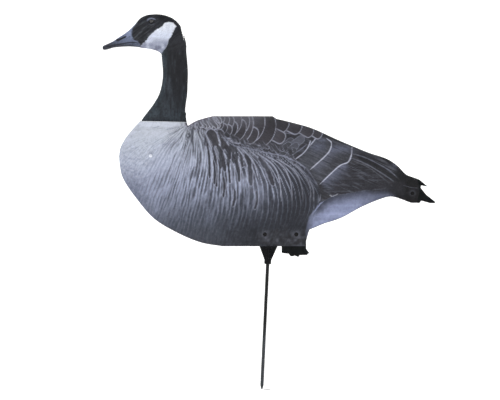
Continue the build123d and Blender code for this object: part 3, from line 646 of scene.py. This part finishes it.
for i in range(34):
    share_along = i / 33
    edge_u = 0.345 + 0.215 * share_along
    edge_v = float(np.interp(edge_u, [p[0] for p in flank_top], [p[1] for p in flank_top]))
    size = rng.uniform(7, 13)
    sheet.feather((edge_u + rng.uniform(-0.004, 0.006), edge_v + rng.uniform(-0.004, 0.052)),
                  rng.uniform(-72, -36),
                  size * 1.8, size, vane=(66, 66, 72), rim_tone=(146, 150, 170), rim=1.3, sheen=0.1)
for i in range(22):
    share_along = i / 21
    edge_u = 0.300 + 0.270 * share_along
    edge_v = float(np.interp(edge_u, [p[0] for p in flank_top], [p[1] for p in flank_top]))
    start = (edge_u + rng.uniform(-0.004, 0.004), edge_v + rng.uniform(0.0, 0.030))
    end = (start[0] + rng.uniform(0.006, 0.020), start[1] - rng.uniform(0.020, 0.055))
    sheet.line([start, ((start[0] + end[0]) / 2 + 0.003, (start[1] + end[1]) / 2 + 0.006), end], 1.7,
               (148, 153, 174), 0.75)
sheet.line([(0.318, 0.872), (0.340, 0.806), (0.366, 0.768), (0.399, 0.752), (0.430, 0.735), (0.470, 0.712),
            (0.513, 0.690), (0.553, 0.652), (0.592, 0.590), (0.618, 0.500)], 1.9, (150, 155, 177), 0.8)
# Painted light: the top of the back, where it faces up, is made lighter.
sheet.lay((168, 171, 188), 0.30 * np.clip((v - 0.88) / 0.08, 0,
                                          1) * (u > 0.225) * np.clip((0.47 - u) / 0.05, 0, 1))
sheet.wash((0.470, 0.650), (16, 18), (150, 155, 177), 0.25)
print("back feathers laid")

# %% [markdown]
# ### Rump, tail and feet end
# Under the wing the rump is plain lavender white, dull towards the tail, and the tail end is black.

# %% Rump, tail and edges
rump = [(0.588, 0.110), (0.600, 0.225), (0.634, 0.331), (0.674, 0.377), (0.721, 0.400), (0.784, 0.424),
        (0.882, 0.444), (0.96, 0.42), (0.96, 0.20), (0.60, 0.02)]
sheet.fill(rump, (140, 148, 180), 1.0, 5.0)
in_rump = sheet.inside(rump)
sheet.lay((150, 158, 190), in_rump * np.clip(0.5 + 0.6 * sheet.cloud, 0, 0.8) * (u < 0.80))
sheet.lay((122, 129, 156), in_rump * np.clip(0.6 * sheet.mottle, 0, 0.35))
# Painted shade: the rump darkens just below the lower edge of the wing.
sheet.beside([(0.606, 0.225), (0.640, 0.331), (0.674, 0.377), (0.721, 0.402), (0.784, 0.426),
              (0.882, 0.446)], -1, 14, (58, 60, 72), 0.85)
sheet.lay((84, 88, 106), in_rump * np.clip((u - 0.74) / 0.12, 0, 0.92))
sheet.fill([(0.885, 0.60), (0.870, 0.47), (0.850, 0.43), (0.868, 0.39), (0.895, 0.30), (1.0, 0.25),
            (1.0, 0.6)], (31, 31, 34), 1.0, 14.0)
sheet.fill([(0.905, 0.60), (0.905, 0.30), (1.0, 0.25), (1.0, 0.6)], (27, 27, 29), 1.0, 6.0)
sheet.fill([(0.760, 0.455), (0.800, 0.412), (0.850, 0.408), (0.900, 0.400), (0.900, 0.500), (0.850, 0.500),
            (0.80, 0.470)], (44, 44, 49), 0.75, 12.0)
sheet.wash((0.927, 0.410), (6.5, 6.5), (112, 116, 132), 0.8)
# Painted shade under the front corner of the wing.
sheet.wash((0.630, 0.400), (18, 14), (40, 41, 46), 0.5)
sheet.line([(0.896, 0.470), (0.922, 0.452), (0.948, 0.446)], 1.8, (92, 95, 108), 0.6)
sheet.line([(0.664, 0.394), (0.671, 0.382)], 1.7, (206, 210, 222), 0.9)
sheet.line([(0.671, 0.382), (0.683, 0.392), (0.690, 0.400)], 1.5, (190, 195, 210), 0.8)
# Painted shade on the belly and on the flank under the wing, as the printed plumage shows it.
under = np.clip((0.42 - v) / 0.30, 0, 1) * np.clip((u - 0.28) / 0.14, 0, 1) * np.clip((0.615 - u) / 0.03, 0,
                                                                                      1)
sheet.lay((30, 31, 36), under * 0.60)
sheet.wash((0.550, 0.240), (34, 30), (38, 39, 45), 0.45)
under_wing_shade = np.exp(-(((u - 0.585) / 0.050) ** 2 + ((v - 0.40) / 0.16) ** 2)) * np.clip((0.64 - u) / 0.03,
                                                                                        0, 1)
sheet.lay((36, 37, 42), under_wing_shade * 0.50)
by_neck = np.exp(-(((u - 0.215) / 0.055) ** 2 + ((v - 0.845) / 0.10) ** 2))
sheet.lay((62, 64, 73), 0.85 * by_neck * np.clip(0.25 + 1.1 * streaks, 0, 1))
sheet.lay((196, 201, 218), 0.5 * by_neck * np.clip(-0.2 - 1.1 * streaks, 0, 1))
sheet.wash((0.425, 0.47), (26, 34), (164, 170, 192), 0.22)
for line_u, reach in ((0.312, 0.13), (0.336, 0.12), (0.352, 0.10)):
    sheet.line([(line_u, 0.775), (line_u + 0.010, 0.71), (line_u + 0.010, 0.78 - reach * 1.4)], 8.0,
               (56, 56, 62), 0.8, 0.5, 0.5)
thigh = np.clip(1 - ((u - 0.520) / 0.085) ** 4, 0, 1) * np.clip((0.150 - v + 0.02 * sheet.mottle) / 0.08, 0,
                                                                1)
sheet.lay((62, 63, 69), thigh * 0.7)
sheet.lay((42, 42, 46), thigh * np.clip(sheet.mottle * 1.2, 0, 0.8))
sheet.lay((96, 98, 108), thigh * np.clip(-sheet.mottle * 1.4 - 0.3, 0, 0.6))
for place in ((0.461, 0.092), (0.560, 0.092)):
    sheet.wash(place, (8, 8), (112, 115, 127), 0.9)

edge_gap_mm = np.minimum(sheet.z - (low_edge - belly_z) / MM, (high_edge - belly_z) / MM - sheet.z)
# The colour is darker along the cut edges, more so behind the shoulder.
sheet.lay((58, 60, 68), np.where(u > 0.22, 0.55, 0.18) * np.clip(1 - edge_gap_mm / 2.2, 0, 1))
# Painted highlight: a pale line along the top cut edge at the neck opening, the sheet's white edge lit from
# above.
sheet.lay((236, 239, 246), ((u > 0.068) & (u < 0.214)) * np.clip(1 - ((high_edge - grid_z) / MM) / 2.0, 0,
                                                                 0.85))
sheet.lay((40, 42, 48), 0.10 * np.clip(sheet.grain, 0, 1))
sheet.lay((230, 234, 244), 0.06 * np.clip(-sheet.grain, 0, 1))
print("average tone", (sheet.colour.mean(axis=(0, 1))).round(0))

# %% [markdown]
# ### The sheet itself
# The paint goes on the outer face. The inner face is the same grid moved in by the thickness of the
# plastic, and four grid steps coarser, because nothing is printed there. Its cells along the cut edge
# have more corners, so they meet the fine outer edge without a crack.

# %% Build both halves
ink_depth = 0.76  # how much light the printed ink gives back, against the same tone on white board
bare_plastic = 0.012  # the unprinted inner face, in linear light
tangent_u, tangent_v = np.gradient(outer, axis=1), np.gradient(outer, axis=0)
normal = np.cross(tangent_v, tangent_u)
normal /= np.maximum(np.linalg.norm(normal, axis=-1, keepdims=True), 1e-9)
normal *= np.where(normal[..., 1:2] < 0, -1, 1)
inner = outer - normal * sheet_thickness
inner[..., 0] = np.clip(inner[..., 0], grid_x - 1.0 * MM, grid_x + 1.0 * MM)
inner[..., 2] = np.maximum(inner[..., 2], low_edge)
inner[..., 1] = np.clip(inner[..., 1], 0.0, None)
inner[..., 1] = np.minimum(inner[..., 1], np.maximum(outer[..., 1] - 0.5 * MM, 0.0))


def build_half(name, side):
    """One half of the printed sheet: outer face, coarse inner face and the rim between them."""
    flip = np.array([1, side, 1])
    index = np.arange(rows * columns).reshape(rows, columns)
    quads = np.stack([index[:-1, :-1], index[:-1, 1:], index[1:, 1:], index[1:, :-1]], axis=-1).reshape(-1, 4)
    faces = quads.tolist()
    shift = rows * columns
    coarse = 4
    for r in range(0, rows - 1, coarse):
        for c in range(0, columns - 1, coarse):
            r1, c1 = r + coarse, c + coarse
            loop = [(r, c)]
            loop += [(r, k) for k in range(c + 1, c1)] if r == 0 else []
            loop += [(r, c1)]
            loop += [(k, c1) for k in range(r + 1, r1)] if c1 == columns - 1 else []
            loop += [(r1, c1)]
            loop += [(r1, k) for k in range(c1 - 1, c, -1)] if r1 == rows - 1 else []
            loop += [(r1, c)]
            loop += [(k, c) for k in range(r1 - 1, r, -1)] if c == 0 else []
            faces.append([int(index[p]) + shift for p in reversed(loop)])
    border = [(0, c) for c in range(columns)] + [(r, columns - 1) for r in range(1, rows)]
    border += [(rows - 1, c) for c in range(columns - 2, -1, -1)] + [(r, 0) for r in range(rows - 2, 0, -1)]
    for a, b in zip(border, border[1:] + border[:1]):
        faces.append([int(index[b]), int(index[a]), int(index[a]) + shift, int(index[b]) + shift])
    if side > 0:
        faces = [face[::-1] for face in faces]
    points = np.concatenate([outer.reshape(-1, 3), inner.reshape(-1, 3)]) * flip
    used = np.unique(np.concatenate([np.asarray(face) for face in faces]))
    renumber = np.full(len(points), -1)
    renumber[used] = np.arange(len(used))
    mesh = bpy.data.meshes.new(name)
    mesh.from_pydata(points[used].tolist(), [], [[int(renumber[i]) for i in face] for face in faces])
    mesh.shade_smooth()
    half = bpy.data.objects.new(name, mesh)
    bpy.context.collection.objects.link(half)
    paint = np.concatenate([(ink_depth * to_linear(sheet.colour)).reshape(-1, 3),
                            np.full((shift, 3), bare_plastic)])[used]
    layer = mesh.color_attributes.new("print", "FLOAT_COLOR", "POINT")
    layer.data.foreach_set("color", np.column_stack([paint, np.ones(len(paint))]).ravel())
    printed = mesh.attributes.new("printed", "FLOAT", "POINT")
    printed.data.foreach_set("value", (used < shift).astype(np.float32))
    flow = mesh.attributes.new("flow", "FLOAT_VECTOR", "POINT")
    flow.data.foreach_set("vector", np.concatenate([barb.reshape(-1, 3)] * 2)[used].ravel())
    sharp = mesh.attributes.new("sharp_edge", "BOOLEAN", "EDGE")
    ends = np.zeros(len(mesh.edges) * 2, int)
    mesh.edges.foreach_get("vertices", ends)
    ends = used[ends.reshape(-1, 2)]
    on_border = np.zeros(shift, bool)
    on_border[[index[p] for p in border]] = True
    rim_edge = on_border[ends % shift].all(axis=1) & (ends[:, 0] // shift == ends[:, 1] // shift)
    sharp.data.foreach_set("value", rim_edge)
    uv = mesh.uv_layers.new(name="OFBake")
    corner = np.zeros(len(mesh.loops), int)
    mesh.loops.foreach_get("vertex_index", corner)
    place = used[corner]
    flat = np.stack([u.ravel(), v.ravel() * height_mm / length_mm], axis=-1)[place % shift]
    flat = flat * 0.98 + 0.01
    flat[:, 1] += np.where(place >= shift, 0.48, 0.0)
    uv.data.foreach_set("uv", flat.ravel())
    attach(half, "decoy")
    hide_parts("body_sheet")
    return half


barb = np.stack([bars * 3.7 * (1 - wing) + slant_z * wing, sheet.z * (1 - wing) + slant_x * wing,
                 np.zeros(u.shape)], axis=-1)
left_side = build_half("printed_sheet_left", -1)
right_side = build_half("printed_sheet_right", 1)
print("half sheet", len(left_side.data.vertices), "vertices", len(left_side.data.polygons), "faces")

# %% [markdown]
# ## Finishes
# Each finish is a small node graph: a colour that varies, a roughness that varies with it, and a bump
# for the grain. The printed sheet is satin plastic. Its ink shows the barbs of every feather, finer than
# the painted grid, so a stretched noise that follows the feathers adds them, in colour and in bump.

# %% Node helpers
def new_finish(name, roughness, specular=0.5):
    """A material with its own node graph; returns the material, its nodes, its links and its shader."""
    finish = bpy.data.materials.new(name)
    finish.use_nodes = True
    nodes, links = finish.node_tree.nodes, finish.node_tree.links
    shader = nodes["Principled BSDF"]
    shader.inputs["Roughness"].default_value = roughness
    shader.inputs["Specular IOR Level"].default_value = specular
    return finish, nodes, links, shader


def noise_node(nodes, links, vector, scale, detail=4.0, rough=0.55):
    """A noise texture on a vector."""
    node = nodes.new("ShaderNodeTexNoise")
    node.inputs["Scale"].default_value = scale
    node.inputs["Detail"].default_value = detail
    node.inputs["Roughness"].default_value = rough
    links.new(vector, node.inputs["Vector"])
    return node.outputs["Fac"]


def ramp_between(nodes, links, value, low, high, out_low, out_high):
    """Maps a value from one range to another, clamped."""
    node = nodes.new("ShaderNodeMapRange")
    for socket, number in zip(("From Min", "From Max", "To Min", "To Max"), (low, high, out_low, out_high)):
        node.inputs[socket].default_value = number
    links.new(value, node.inputs["Value"])
    return node.outputs["Result"]


def mix_colours(nodes, links, factor, first, second):
    """Mixes two colours by a socket; each colour may be a socket or plain."""
    node = nodes.new("ShaderNodeMix")
    node.data_type = "RGBA"
    links.new(factor, node.inputs[0])
    for socket, value in ((node.inputs[6], first), (node.inputs[7], second)):
        if isinstance(value, tuple):
            socket.default_value = (*value, 1.0)
        else:
            links.new(value, socket)
    return node.outputs[2]


def bump_node(nodes, links, shader, height, distance, strength=0.6):
    """Sends a height to the shader as bump; the distance is in metres."""
    node = nodes.new("ShaderNodeBump")
    node.inputs["Distance"].default_value = distance
    node.inputs["Strength"].default_value = strength
    links.new(height, node.inputs["Height"])
    links.new(node.outputs["Normal"], shader.inputs["Normal"])


def place_vector(nodes, links, stretch=(1, 1, 1)):
    """Object coordinates, stretched along the axes so that a noise can be drawn out."""
    source = nodes.new("ShaderNodeTexCoord")
    node = nodes.new("ShaderNodeMapping")
    node.inputs["Scale"].default_value = stretch
    links.new(source.outputs["Object"], node.inputs["Vector"])
    return node.outputs["Vector"]


def attribute(nodes, name, output="Fac"):
    """A value or colour painted on the mesh."""
    node = nodes.new("ShaderNodeAttribute")
    node.attribute_name = name
    return node.outputs[output]


# %% Printed sheet finish
def printed_finish(name, roughness, specular, stretch, detail, speck_noise, ink_range, speck_range):
    """Printed colour that varies along the feathers and in fine specks; also returns the barbs."""
    finish, nodes, links, shader = new_finish(name, roughness, specular)
    flow = nodes.new("ShaderNodeMapping")
    flow.inputs["Scale"].default_value = stretch
    links.new(attribute(nodes, "flow", "Vector"), flow.inputs["Vector"])
    barbs = noise_node(nodes, links, flow.outputs["Vector"], 1.0, detail, 0.6)
    specks = noise_node(nodes, links, place_vector(nodes, links), *speck_noise)
    depth = nodes.new("ShaderNodeMath")
    depth.operation = "MULTIPLY"
    links.new(ramp_between(nodes, links, barbs, 0.3, 0.7, *ink_range), depth.inputs[0])
    links.new(ramp_between(nodes, links, specks, 0.3, 0.7, *speck_range), depth.inputs[1])
    scaled = nodes.new("ShaderNodeVectorMath")
    scaled.operation = "SCALE"
    links.new(attribute(nodes, "print", "Color"), scaled.inputs[0])
    links.new(depth.outputs[0], scaled.inputs["Scale"])
    links.new(scaled.outputs["Vector"], shader.inputs["Base Color"])
    return finish, nodes, links, shader, barbs


finish, nodes, links, shader, barbs = printed_finish(
    "printed_sheet_ink", 0.6, 0.12, (0.55, 0.075, 1.0), 3.0, (900.0, 2.0), (0.80, 1.20), (0.94, 1.06))
links.new(ramp_between(nodes, links, barbs, 0.3, 0.7, 0.66, 0.56), shader.inputs["Roughness"])
bump_node(nodes, links, shader, barbs, 0.00035, 0.35)
for half in (left_side, right_side):
    half.data.materials.append(finish)
print("ink laid on both halves")

# %% [markdown]
# ## Head and neck
# On the real decoy the head and neck are one hollow blown moulding with a painted face. Its working
# shape is in the engineering model, so a copy of that is remeshed evenly, and then pushed in and out by
# small amounts: a step where the bill leaves the face, the nostrils, the line of the mouth, a brow over
# each eye and faint feather ripples.

# %% Remesh a copy of the working shape
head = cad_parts["head_shell"].copy()
head.data = head.data.copy()
head.name = "painted_head"
head.data.materials.clear()
bpy.context.collection.objects.link(head)
head.hide_render = head.hide_viewport = False
even = head.modifiers.new("even", "REMESH")
even.mode, even.voxel_size, even.use_smooth_shade = "VOXEL", 1.3 * MM, True
soften = head.modifiers.new("soften", "SMOOTH")
soften.factor, soften.iterations = 0.5, 4
graph = bpy.context.evaluated_depsgraph_get()
even_mesh = bpy.data.meshes.new_from_object(head.evaluated_get(graph))
head.modifiers.clear()
head.data = even_mesh
for key in list(head.keys()):
    del head[key]
place = np.zeros(len(even_mesh.vertices) * 3)
even_mesh.vertices.foreach_get("co", place)
place = place.reshape(-1, 3)
facing = np.zeros(len(even_mesh.vertices) * 3)
even_mesh.vertices.foreach_get("normal", facing)
facing = facing.reshape(-1, 3)
print("head", len(even_mesh.vertices), "vertices, box", place.min(0).round(4), place.max(0).round(4))

# %% Push the details in and out
head_reach, neck_height = 200 * MM, 255 * MM
neck_back, opening_z = breast_x + 0.214 * body_length, belly_z + 0.953 * body_height
skin = Canvas((place[:, 0] - neck_back) / MM, (place[:, 2] - opening_z) / MM,
              (head_reach / MM, neck_height / MM))
along_head, up_head = skin.x / skin.size[0], skin.z / skin.size[1]
outside = np.clip(np.abs(place[:, 1]) / MM / 3.0, 0, 1)
push = np.zeros(len(place))


def ridge(points, width, height):
    """Raises (or, below 0, sinks) the skin along a line; sizes in millimetres."""
    away, along, _ = skin.from_line(smooth_line(points, 8))
    ends = np.clip(np.minimum(along, 1 - along) * 8, 0.0, 1)
    return height * ends * np.exp(-((away / (width / 2)) ** 2))


bill_edge = [(-0.560, 0.965), (-0.600, 0.893), (-0.640, 0.851), (-0.645, 0.800), (-0.628, 0.760),
             (-0.575, 0.738),
             (-0.545, 0.715), (-0.545, 0.640)]
edge_away, _, edge_side = skin.from_line(smooth_line(bill_edge, 8))
on_bill = (edge_side < 0) & (along_head < -0.53)
push += np.where(along_head < -0.45, 0.45 * np.clip(edge_away / 2.0, 0, 1) * np.where(on_bill, -0.3, 1), 0.45)
push += 1.9 * np.clip((-0.86 - along_head) / 0.07, 0, 1)
for points, width, height in (
    ([(-0.815, 0.752), (-0.775, 0.766), (-0.715, 0.786)], 5.5, -2.2),
    ([(-0.835, 0.757), (-0.775, 0.787), (-0.700, 0.812)], 4.0, 0.7),
    ([(-0.990, 0.685), (-0.874, 0.704), (-0.745, 0.720), (-0.627, 0.733), (-0.560, 0.722)], 3.0, -1.5),
    ([(-0.980, 0.675), (-0.874, 0.692), (-0.745, 0.706), (-0.620, 0.716)], 4.0, 0.5),
):
    push += outside * ridge(points, width, height)
push += ridge([(-1.02, 0.700), (-0.965, 0.712)], 9.0, 0.6)
for points, width, height in (
    ([(-0.470, 0.918), (-0.448, 0.943), (-0.408, 0.953), (-0.360, 0.941), (-0.335, 0.920)], 5.0, 1.3),
    ([(-0.450, 0.898), (-0.410, 0.888), (-0.365, 0.900)], 5.0, 0.8),
    ([(-0.50, 0.905), (-0.56, 0.880), (-0.62, 0.858)], 7.0, -0.7),
):
    push += outside * ridge(points, width, height)
nape_lip = np.clip((0.094 - up_head) / 0.010, 0, 1) * np.clip((up_head - 0.055) / 0.03 + 0.35, 0, 1)
push += 1.6 * nape_lip * np.clip((along_head + 0.16) / 0.08, 0, 1)
streak_turn = 0.62
streak_x, streak_z = turned(skin.x, skin.z, streak_turn)
on_face = np.clip((along_head + 0.64) / 0.03, 0, 1) * np.clip((up_head - 0.60) / 0.1, 0, 1)
cheek_streaks = soft_noise(streak_x / 16, streak_z / 2.3, 21)
neck_streaks = soft_noise(skin.x / 3.4, skin.z / 20, 22) + 0.5 * soft_noise(skin.x / 2.4, skin.z / 9, 23)
on_neck = np.clip((0.70 - up_head) / 0.08, 0, 1)
push += 0.38 * cheek_streaks * on_face * (~on_bill) * (1 - on_neck)
push += 0.26 * neck_streaks * on_neck
buried = np.clip((up_head - 0.01) / 0.02, 0, 1)
eye_gap = np.hypot(skin.x + 0.408 * skin.size[0], skin.z - 0.925 * skin.size[1])
push = push * buried * np.clip((eye_gap - 4.6) / 1.2, 0.0, 1)
even_mesh.vertices.foreach_set("co", (place + facing * (push * MM)[:, None]).ravel())
even_mesh.update()
print("pushed by", push.min().round(2), "to", push.max().round(2), "mm")

# %% Paint the head
skin.colour = tones([0.0, 0.12, 0.35, 0.6, 0.75, 1.0],
                    [(49, 54, 61), (46, 51, 57), (36, 37, 42), (34, 35, 39), (48, 50, 55), (38, 40, 46)],
                    up_head + 0.02 * skin.cloud)
# Painted sheen: teal washes down the front of the neck, across its base and along its middle.
for points, reach, tone in (
    ([(-0.285, 0.620), (-0.276, 0.437), (-0.311, 0.281), (-0.428, 0.115), (-0.540, 0.000)], 12, (62, 74, 82)),
    ([(-0.40, 0.10), (-0.20, 0.06), (-0.04, 0.08)], 10, (58, 66, 74)),
    ([(-0.21, 0.40), (-0.22, 0.25), (-0.25, 0.12)], 7, (54, 60, 67)),
):
    away, _, _ = skin.from_line(smooth_line(points, 8))
    skin.lay(tone, 0.75 * np.exp(-((away / reach) ** 2)))
skin.lay((74, 84, 92), np.clip(neck_streaks * 0.5 - 0.1, 0, 0.35) * on_neck)
skin.lay((24, 25, 29), np.clip(-neck_streaks * 0.6 - 0.1, 0, 0.45) * on_neck)
skin.lay((84, 87, 93), np.clip(cheek_streaks * 0.9 - 0.1, 0,
                               0.60) * on_face * np.clip((-0.28 - along_head) / 0.1, 0, 1))
skin.lay((26, 26, 30), np.clip(-cheek_streaks * 0.9, 0, 0.55) * on_face)
skin.wash((-0.40, 0.915), (13, 9), (58, 60, 66), 0.5)
skin.wash((-0.408, 0.925), (8, 7), (24, 24, 28), 0.9)
patch = [(-0.560, 0.655), (-0.545, 0.695), (-0.475, 0.750), (-0.425, 0.795), (-0.368, 0.839), (-0.287, 0.877),
         (-0.260, 0.908), (-0.205, 0.921), (-0.155, 0.909), (-0.123, 0.879), (-0.150, 0.842), (-0.165, 0.805),
         (-0.205, 0.757), (-0.232, 0.704), (-0.255, 0.668), (-0.285, 0.640), (-0.330, 0.610), (-0.50, 0.60)]
skin.fill(patch, (216, 223, 240), 1.0, 1.6, 1.5)
in_patch = skin.inside(patch)
# Painted light and shade on the white patch: lighter at its top, darker low down.
skin.lay((240, 245, 253), in_patch * np.clip((up_head - 0.80) / 0.10, 0, 0.8))
skin.lay((120, 124, 144), in_patch * np.clip((0.785 - up_head) / 0.090, 0,
                                             1) * np.clip(0.7 + 0.5 * skin.mottle, 0, 1))
skin.lay((178, 184, 206), in_patch * np.clip(-neck_streaks * 0.25, 0, 0.3))
# The bill is slate with a painted highlight: lighter towards its top.
bill_slate_and_highlight = tones([0.66, 0.70, 0.735, 0.78, 0.86, 0.92],
                  [(56, 58, 66), (66, 70, 80), (92, 100, 121), (112, 122, 150), (156, 168, 200),
                   (150, 161, 190)],
                  up_head + 0.12 * (along_head + 0.8))
bill_cover = np.clip(on_bill * np.clip(edge_away / 1.2, 0, 1), 0, 1)[..., None]
skin.colour = skin.colour * (1 - bill_cover) + bill_slate_and_highlight * bill_cover
# Painted highlight along the ridge of the bill.
skin.lay((128, 139, 170), on_bill * 0.55 * np.exp(-((skin.from_line(smooth_line(
    [(-0.97, 0.712), (-0.897, 0.738), (-0.78, 0.790), (-0.663, 0.850)], 8))[0] / 3.0) ** 2)))
skin.line([(-0.820, 0.750), (-0.775, 0.765), (-0.712, 0.786)], 5.0, (40, 42, 48), 0.95, 0.6, 0.6)
# Among these lines, the pale strokes along the bill's base by the face and the pale arc over the eye are
# painted highlights.
for points, width, tone, strength in (
    ([(-0.985, 0.687), (-0.874, 0.704), (-0.745, 0.720), (-0.627, 0.733), (-0.565, 0.724)], 2.4,
     (36, 38, 44), 0.85),
    ([(-0.985, 0.676), (-0.874, 0.690), (-0.745, 0.704), (-0.627, 0.714)], 3.0, (60, 62, 70), 0.6),
    ([(-0.640, 0.855), (-0.647, 0.800), (-0.628, 0.756)], 3.4, (122, 132, 158), 0.8),
    ([(-0.628, 0.756), (-0.600, 0.745), (-0.565, 0.742)], 2.6, (112, 121, 146), 0.7),
    ([(-0.605, 0.895), (-0.570, 0.905)], 2.4, (96, 102, 122), 0.6),
    ([(-0.462, 0.924), (-0.446, 0.942), (-0.408, 0.950), (-0.362, 0.939)], 3.2, (132, 140, 162), 0.9),
    ([(-0.445, 0.899), (-0.410, 0.891), (-0.372, 0.901)], 2.4, (84, 88, 98), 0.8),
):
    skin.line(points, width, tone, strength)
# Painted highlight on the tip of the bill.
skin.wash((-1.0, 0.700), (8, 4), (168, 180, 210), 0.6)
skin.line([(-1.0, 0.668), (-0.965, 0.669), (-0.925, 0.676)], 3.4, (38, 40, 46), 0.85)
skin.lay((20, 21, 24), 0.35 * np.clip(skin.grain, 0, 1) * (~in_patch))
head_paint_depth = 0.78  # the same share for the painted head
paint = even_mesh.color_attributes.new("print", "FLOAT_COLOR", "POINT")
paint.data.foreach_set("color", np.column_stack([head_paint_depth * to_linear(skin.colour),
                                                 np.ones(len(place))]).ravel())
flow_lines = even_mesh.attributes.new("flow", "FLOAT_VECTOR", "POINT")
flow_lines.data.foreach_set("vector", np.column_stack([
    np.where(on_neck > 0.5, skin.x, streak_z), np.where(on_neck > 0.5, skin.z, streak_x),
                                                       np.zeros(len(place))]).ravel())
gloss = even_mesh.attributes.new("gloss", "FLOAT", "POINT")
gloss.data.foreach_set("value", on_bill.astype(np.float32))
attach(head, "head")
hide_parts("head_shell")
print("head painted")

# %% Head finish
finish, nodes, links, shader, barbs = printed_finish(
    "painted_head_skin", 0.55, 0.14, (0.9, 0.12, 1.0), 4.0, (700.0, 3.0), (0.78, 1.22), (0.92, 1.08))
links.new(ramp_between(nodes, links, attribute(nodes, "gloss"), 0.0, 1.0, 0.58, 0.40),
          shader.inputs["Roughness"])
bump_node(nodes, links, shader, barbs, 0.0005, 0.5)
head.data.materials.append(finish)
print("head finish set")

# %% [markdown]
# ## Fittings
# The small parts keep their working shapes. What they need is a finish: coated steel that turns a paler
# grey in lengthwise streaks towards its point, moulded black plastic with a slight sheen, grained black sheet
# for the feet and tail, and natural nylon for the bushes.

# %% Finishes for the fittings
def fitting_finish(name, dark, light, scale, roughness, grain_depth, specular=0.10, stretch=(1, 1, 1)):
    """A finish that wanders between two tones, with matching roughness and bump."""
    finish, nodes, links, shader = new_finish(name, roughness, specular)
    vector = place_vector(nodes, links, stretch)
    broad = noise_node(nodes, links, vector, scale, 5.0)
    fine = noise_node(nodes, links, vector, scale * 9, 3.0)
    tone = mix_colours(nodes, links, ramp_between(nodes, links, broad, 0.35, 0.65, 0, 1),
                       tuple(to_linear(np.array(dark, float))), tuple(to_linear(np.array(light, float))))
    links.new(tone, shader.inputs["Base Color"])
    links.new(ramp_between(nodes, links, fine, 0.3, 0.7, roughness - 0.10, roughness + 0.10),
              shader.inputs["Roughness"])
    bump_node(nodes, links, shader, fine, grain_depth, 0.5)
    return finish, nodes, links, shader, tone


def give(nodes_and_finish):
    """Puts a finish on carried-over parts by name."""
    for part_names, part_finish in nodes_and_finish:
        for part_name in part_names:
            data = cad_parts[part_name].data
            data.materials.clear()
            data.materials.append(part_finish)


moulded = fitting_finish("moulded_black_plastic", (6, 7, 9), (15, 16, 19), 60, 0.42, 0.0002)[0]
core = fitting_finish("grained_black_sheet", (3, 5, 7), (10, 14, 16), 90, 0.55, 0.0004,
                      stretch=(1, 1, 0.35))[0]
nylon = fitting_finish("natural_nylon", (196, 193, 182), (222, 220, 210), 80, 0.45, 0.0001)[0]
pale = fitting_finish("pale_rivet_plastic", (196, 200, 212), (226, 229, 238), 300, 0.40, 0.0001)[0]
black = fitting_finish("black_rivet_plastic", (4, 4, 5), (14, 14, 17), 250, 0.34, 0.0001, specular=0.16)[0]
steel, nodes, links, shader, coat = fitting_finish("coated_steel_stake", (8, 9, 10), (18, 20, 20), 70, 0.42,
                                                   0.0002,
                                                   specular=0.18, stretch=(1, 1, 0.12))
# The stake turns a paler grey towards its point, in lengthwise streaks.
height = nodes.new("ShaderNodeSeparateXYZ")
links.new(place_vector(nodes, links), height.inputs[0])
low_on_stake = ramp_between(nodes, links, height.outputs["Z"], -0.13, -0.17, 0.0, 1.0)
lengthwise_noise = noise_node(nodes, links, place_vector(nodes, links, (1, 1, 0.06)), 900.0, 3.0)
paler_low = nodes.new("ShaderNodeMath")
paler_low.operation = "MULTIPLY"
links.new(low_on_stake, paler_low.inputs[0])
links.new(ramp_between(nodes, links, lengthwise_noise, 0.30, 0.62, 0.25, 1.0), paler_low.inputs[1])
low_grey = tuple(to_linear(np.array((60, 64, 68), float)))
links.new(mix_colours(nodes, links, paler_low.outputs[0], coat, low_grey), shader.inputs["Base Color"])
give((
    (("stake_socket", "neck_tongue", "spreader_hoop"), moulded),
    (("tail_plate", "feet_plate"), core),
    (("stake_ferrule", "breast_spacer", "tail_spacer", "belly_spacer"), nylon),
    (("breast_rivet", "breast_rivet_cap"), pale),
    (("tail_rivet", "tail_rivet_cap", "belly_rivet", "belly_rivet_cap"), black),
    (("stake_rod",), steel),
))

# %% Eyes
eye, nodes, links, shader = new_finish("eye_gloss", 0.10, 0.6)
iris = noise_node(nodes, links, place_vector(nodes, links), 500.0, 3.0)
links.new(mix_colours(nodes, links, ramp_between(nodes, links, iris, 0.35, 0.65, 0, 1), (0.004, 0.004, 0.005),
                      (0.012, 0.012, 0.014)), shader.inputs["Base Color"])
shader.inputs["Coat Weight"].default_value = 0.6
links.new(ramp_between(nodes, links, iris, 0.3, 0.7, 0.06, 0.14), shader.inputs["Roughness"])
bump_node(nodes, links, shader, iris, 0.00005, 0.2)
give(((("left_eye", "right_eye"), eye),))
print("fittings finished")
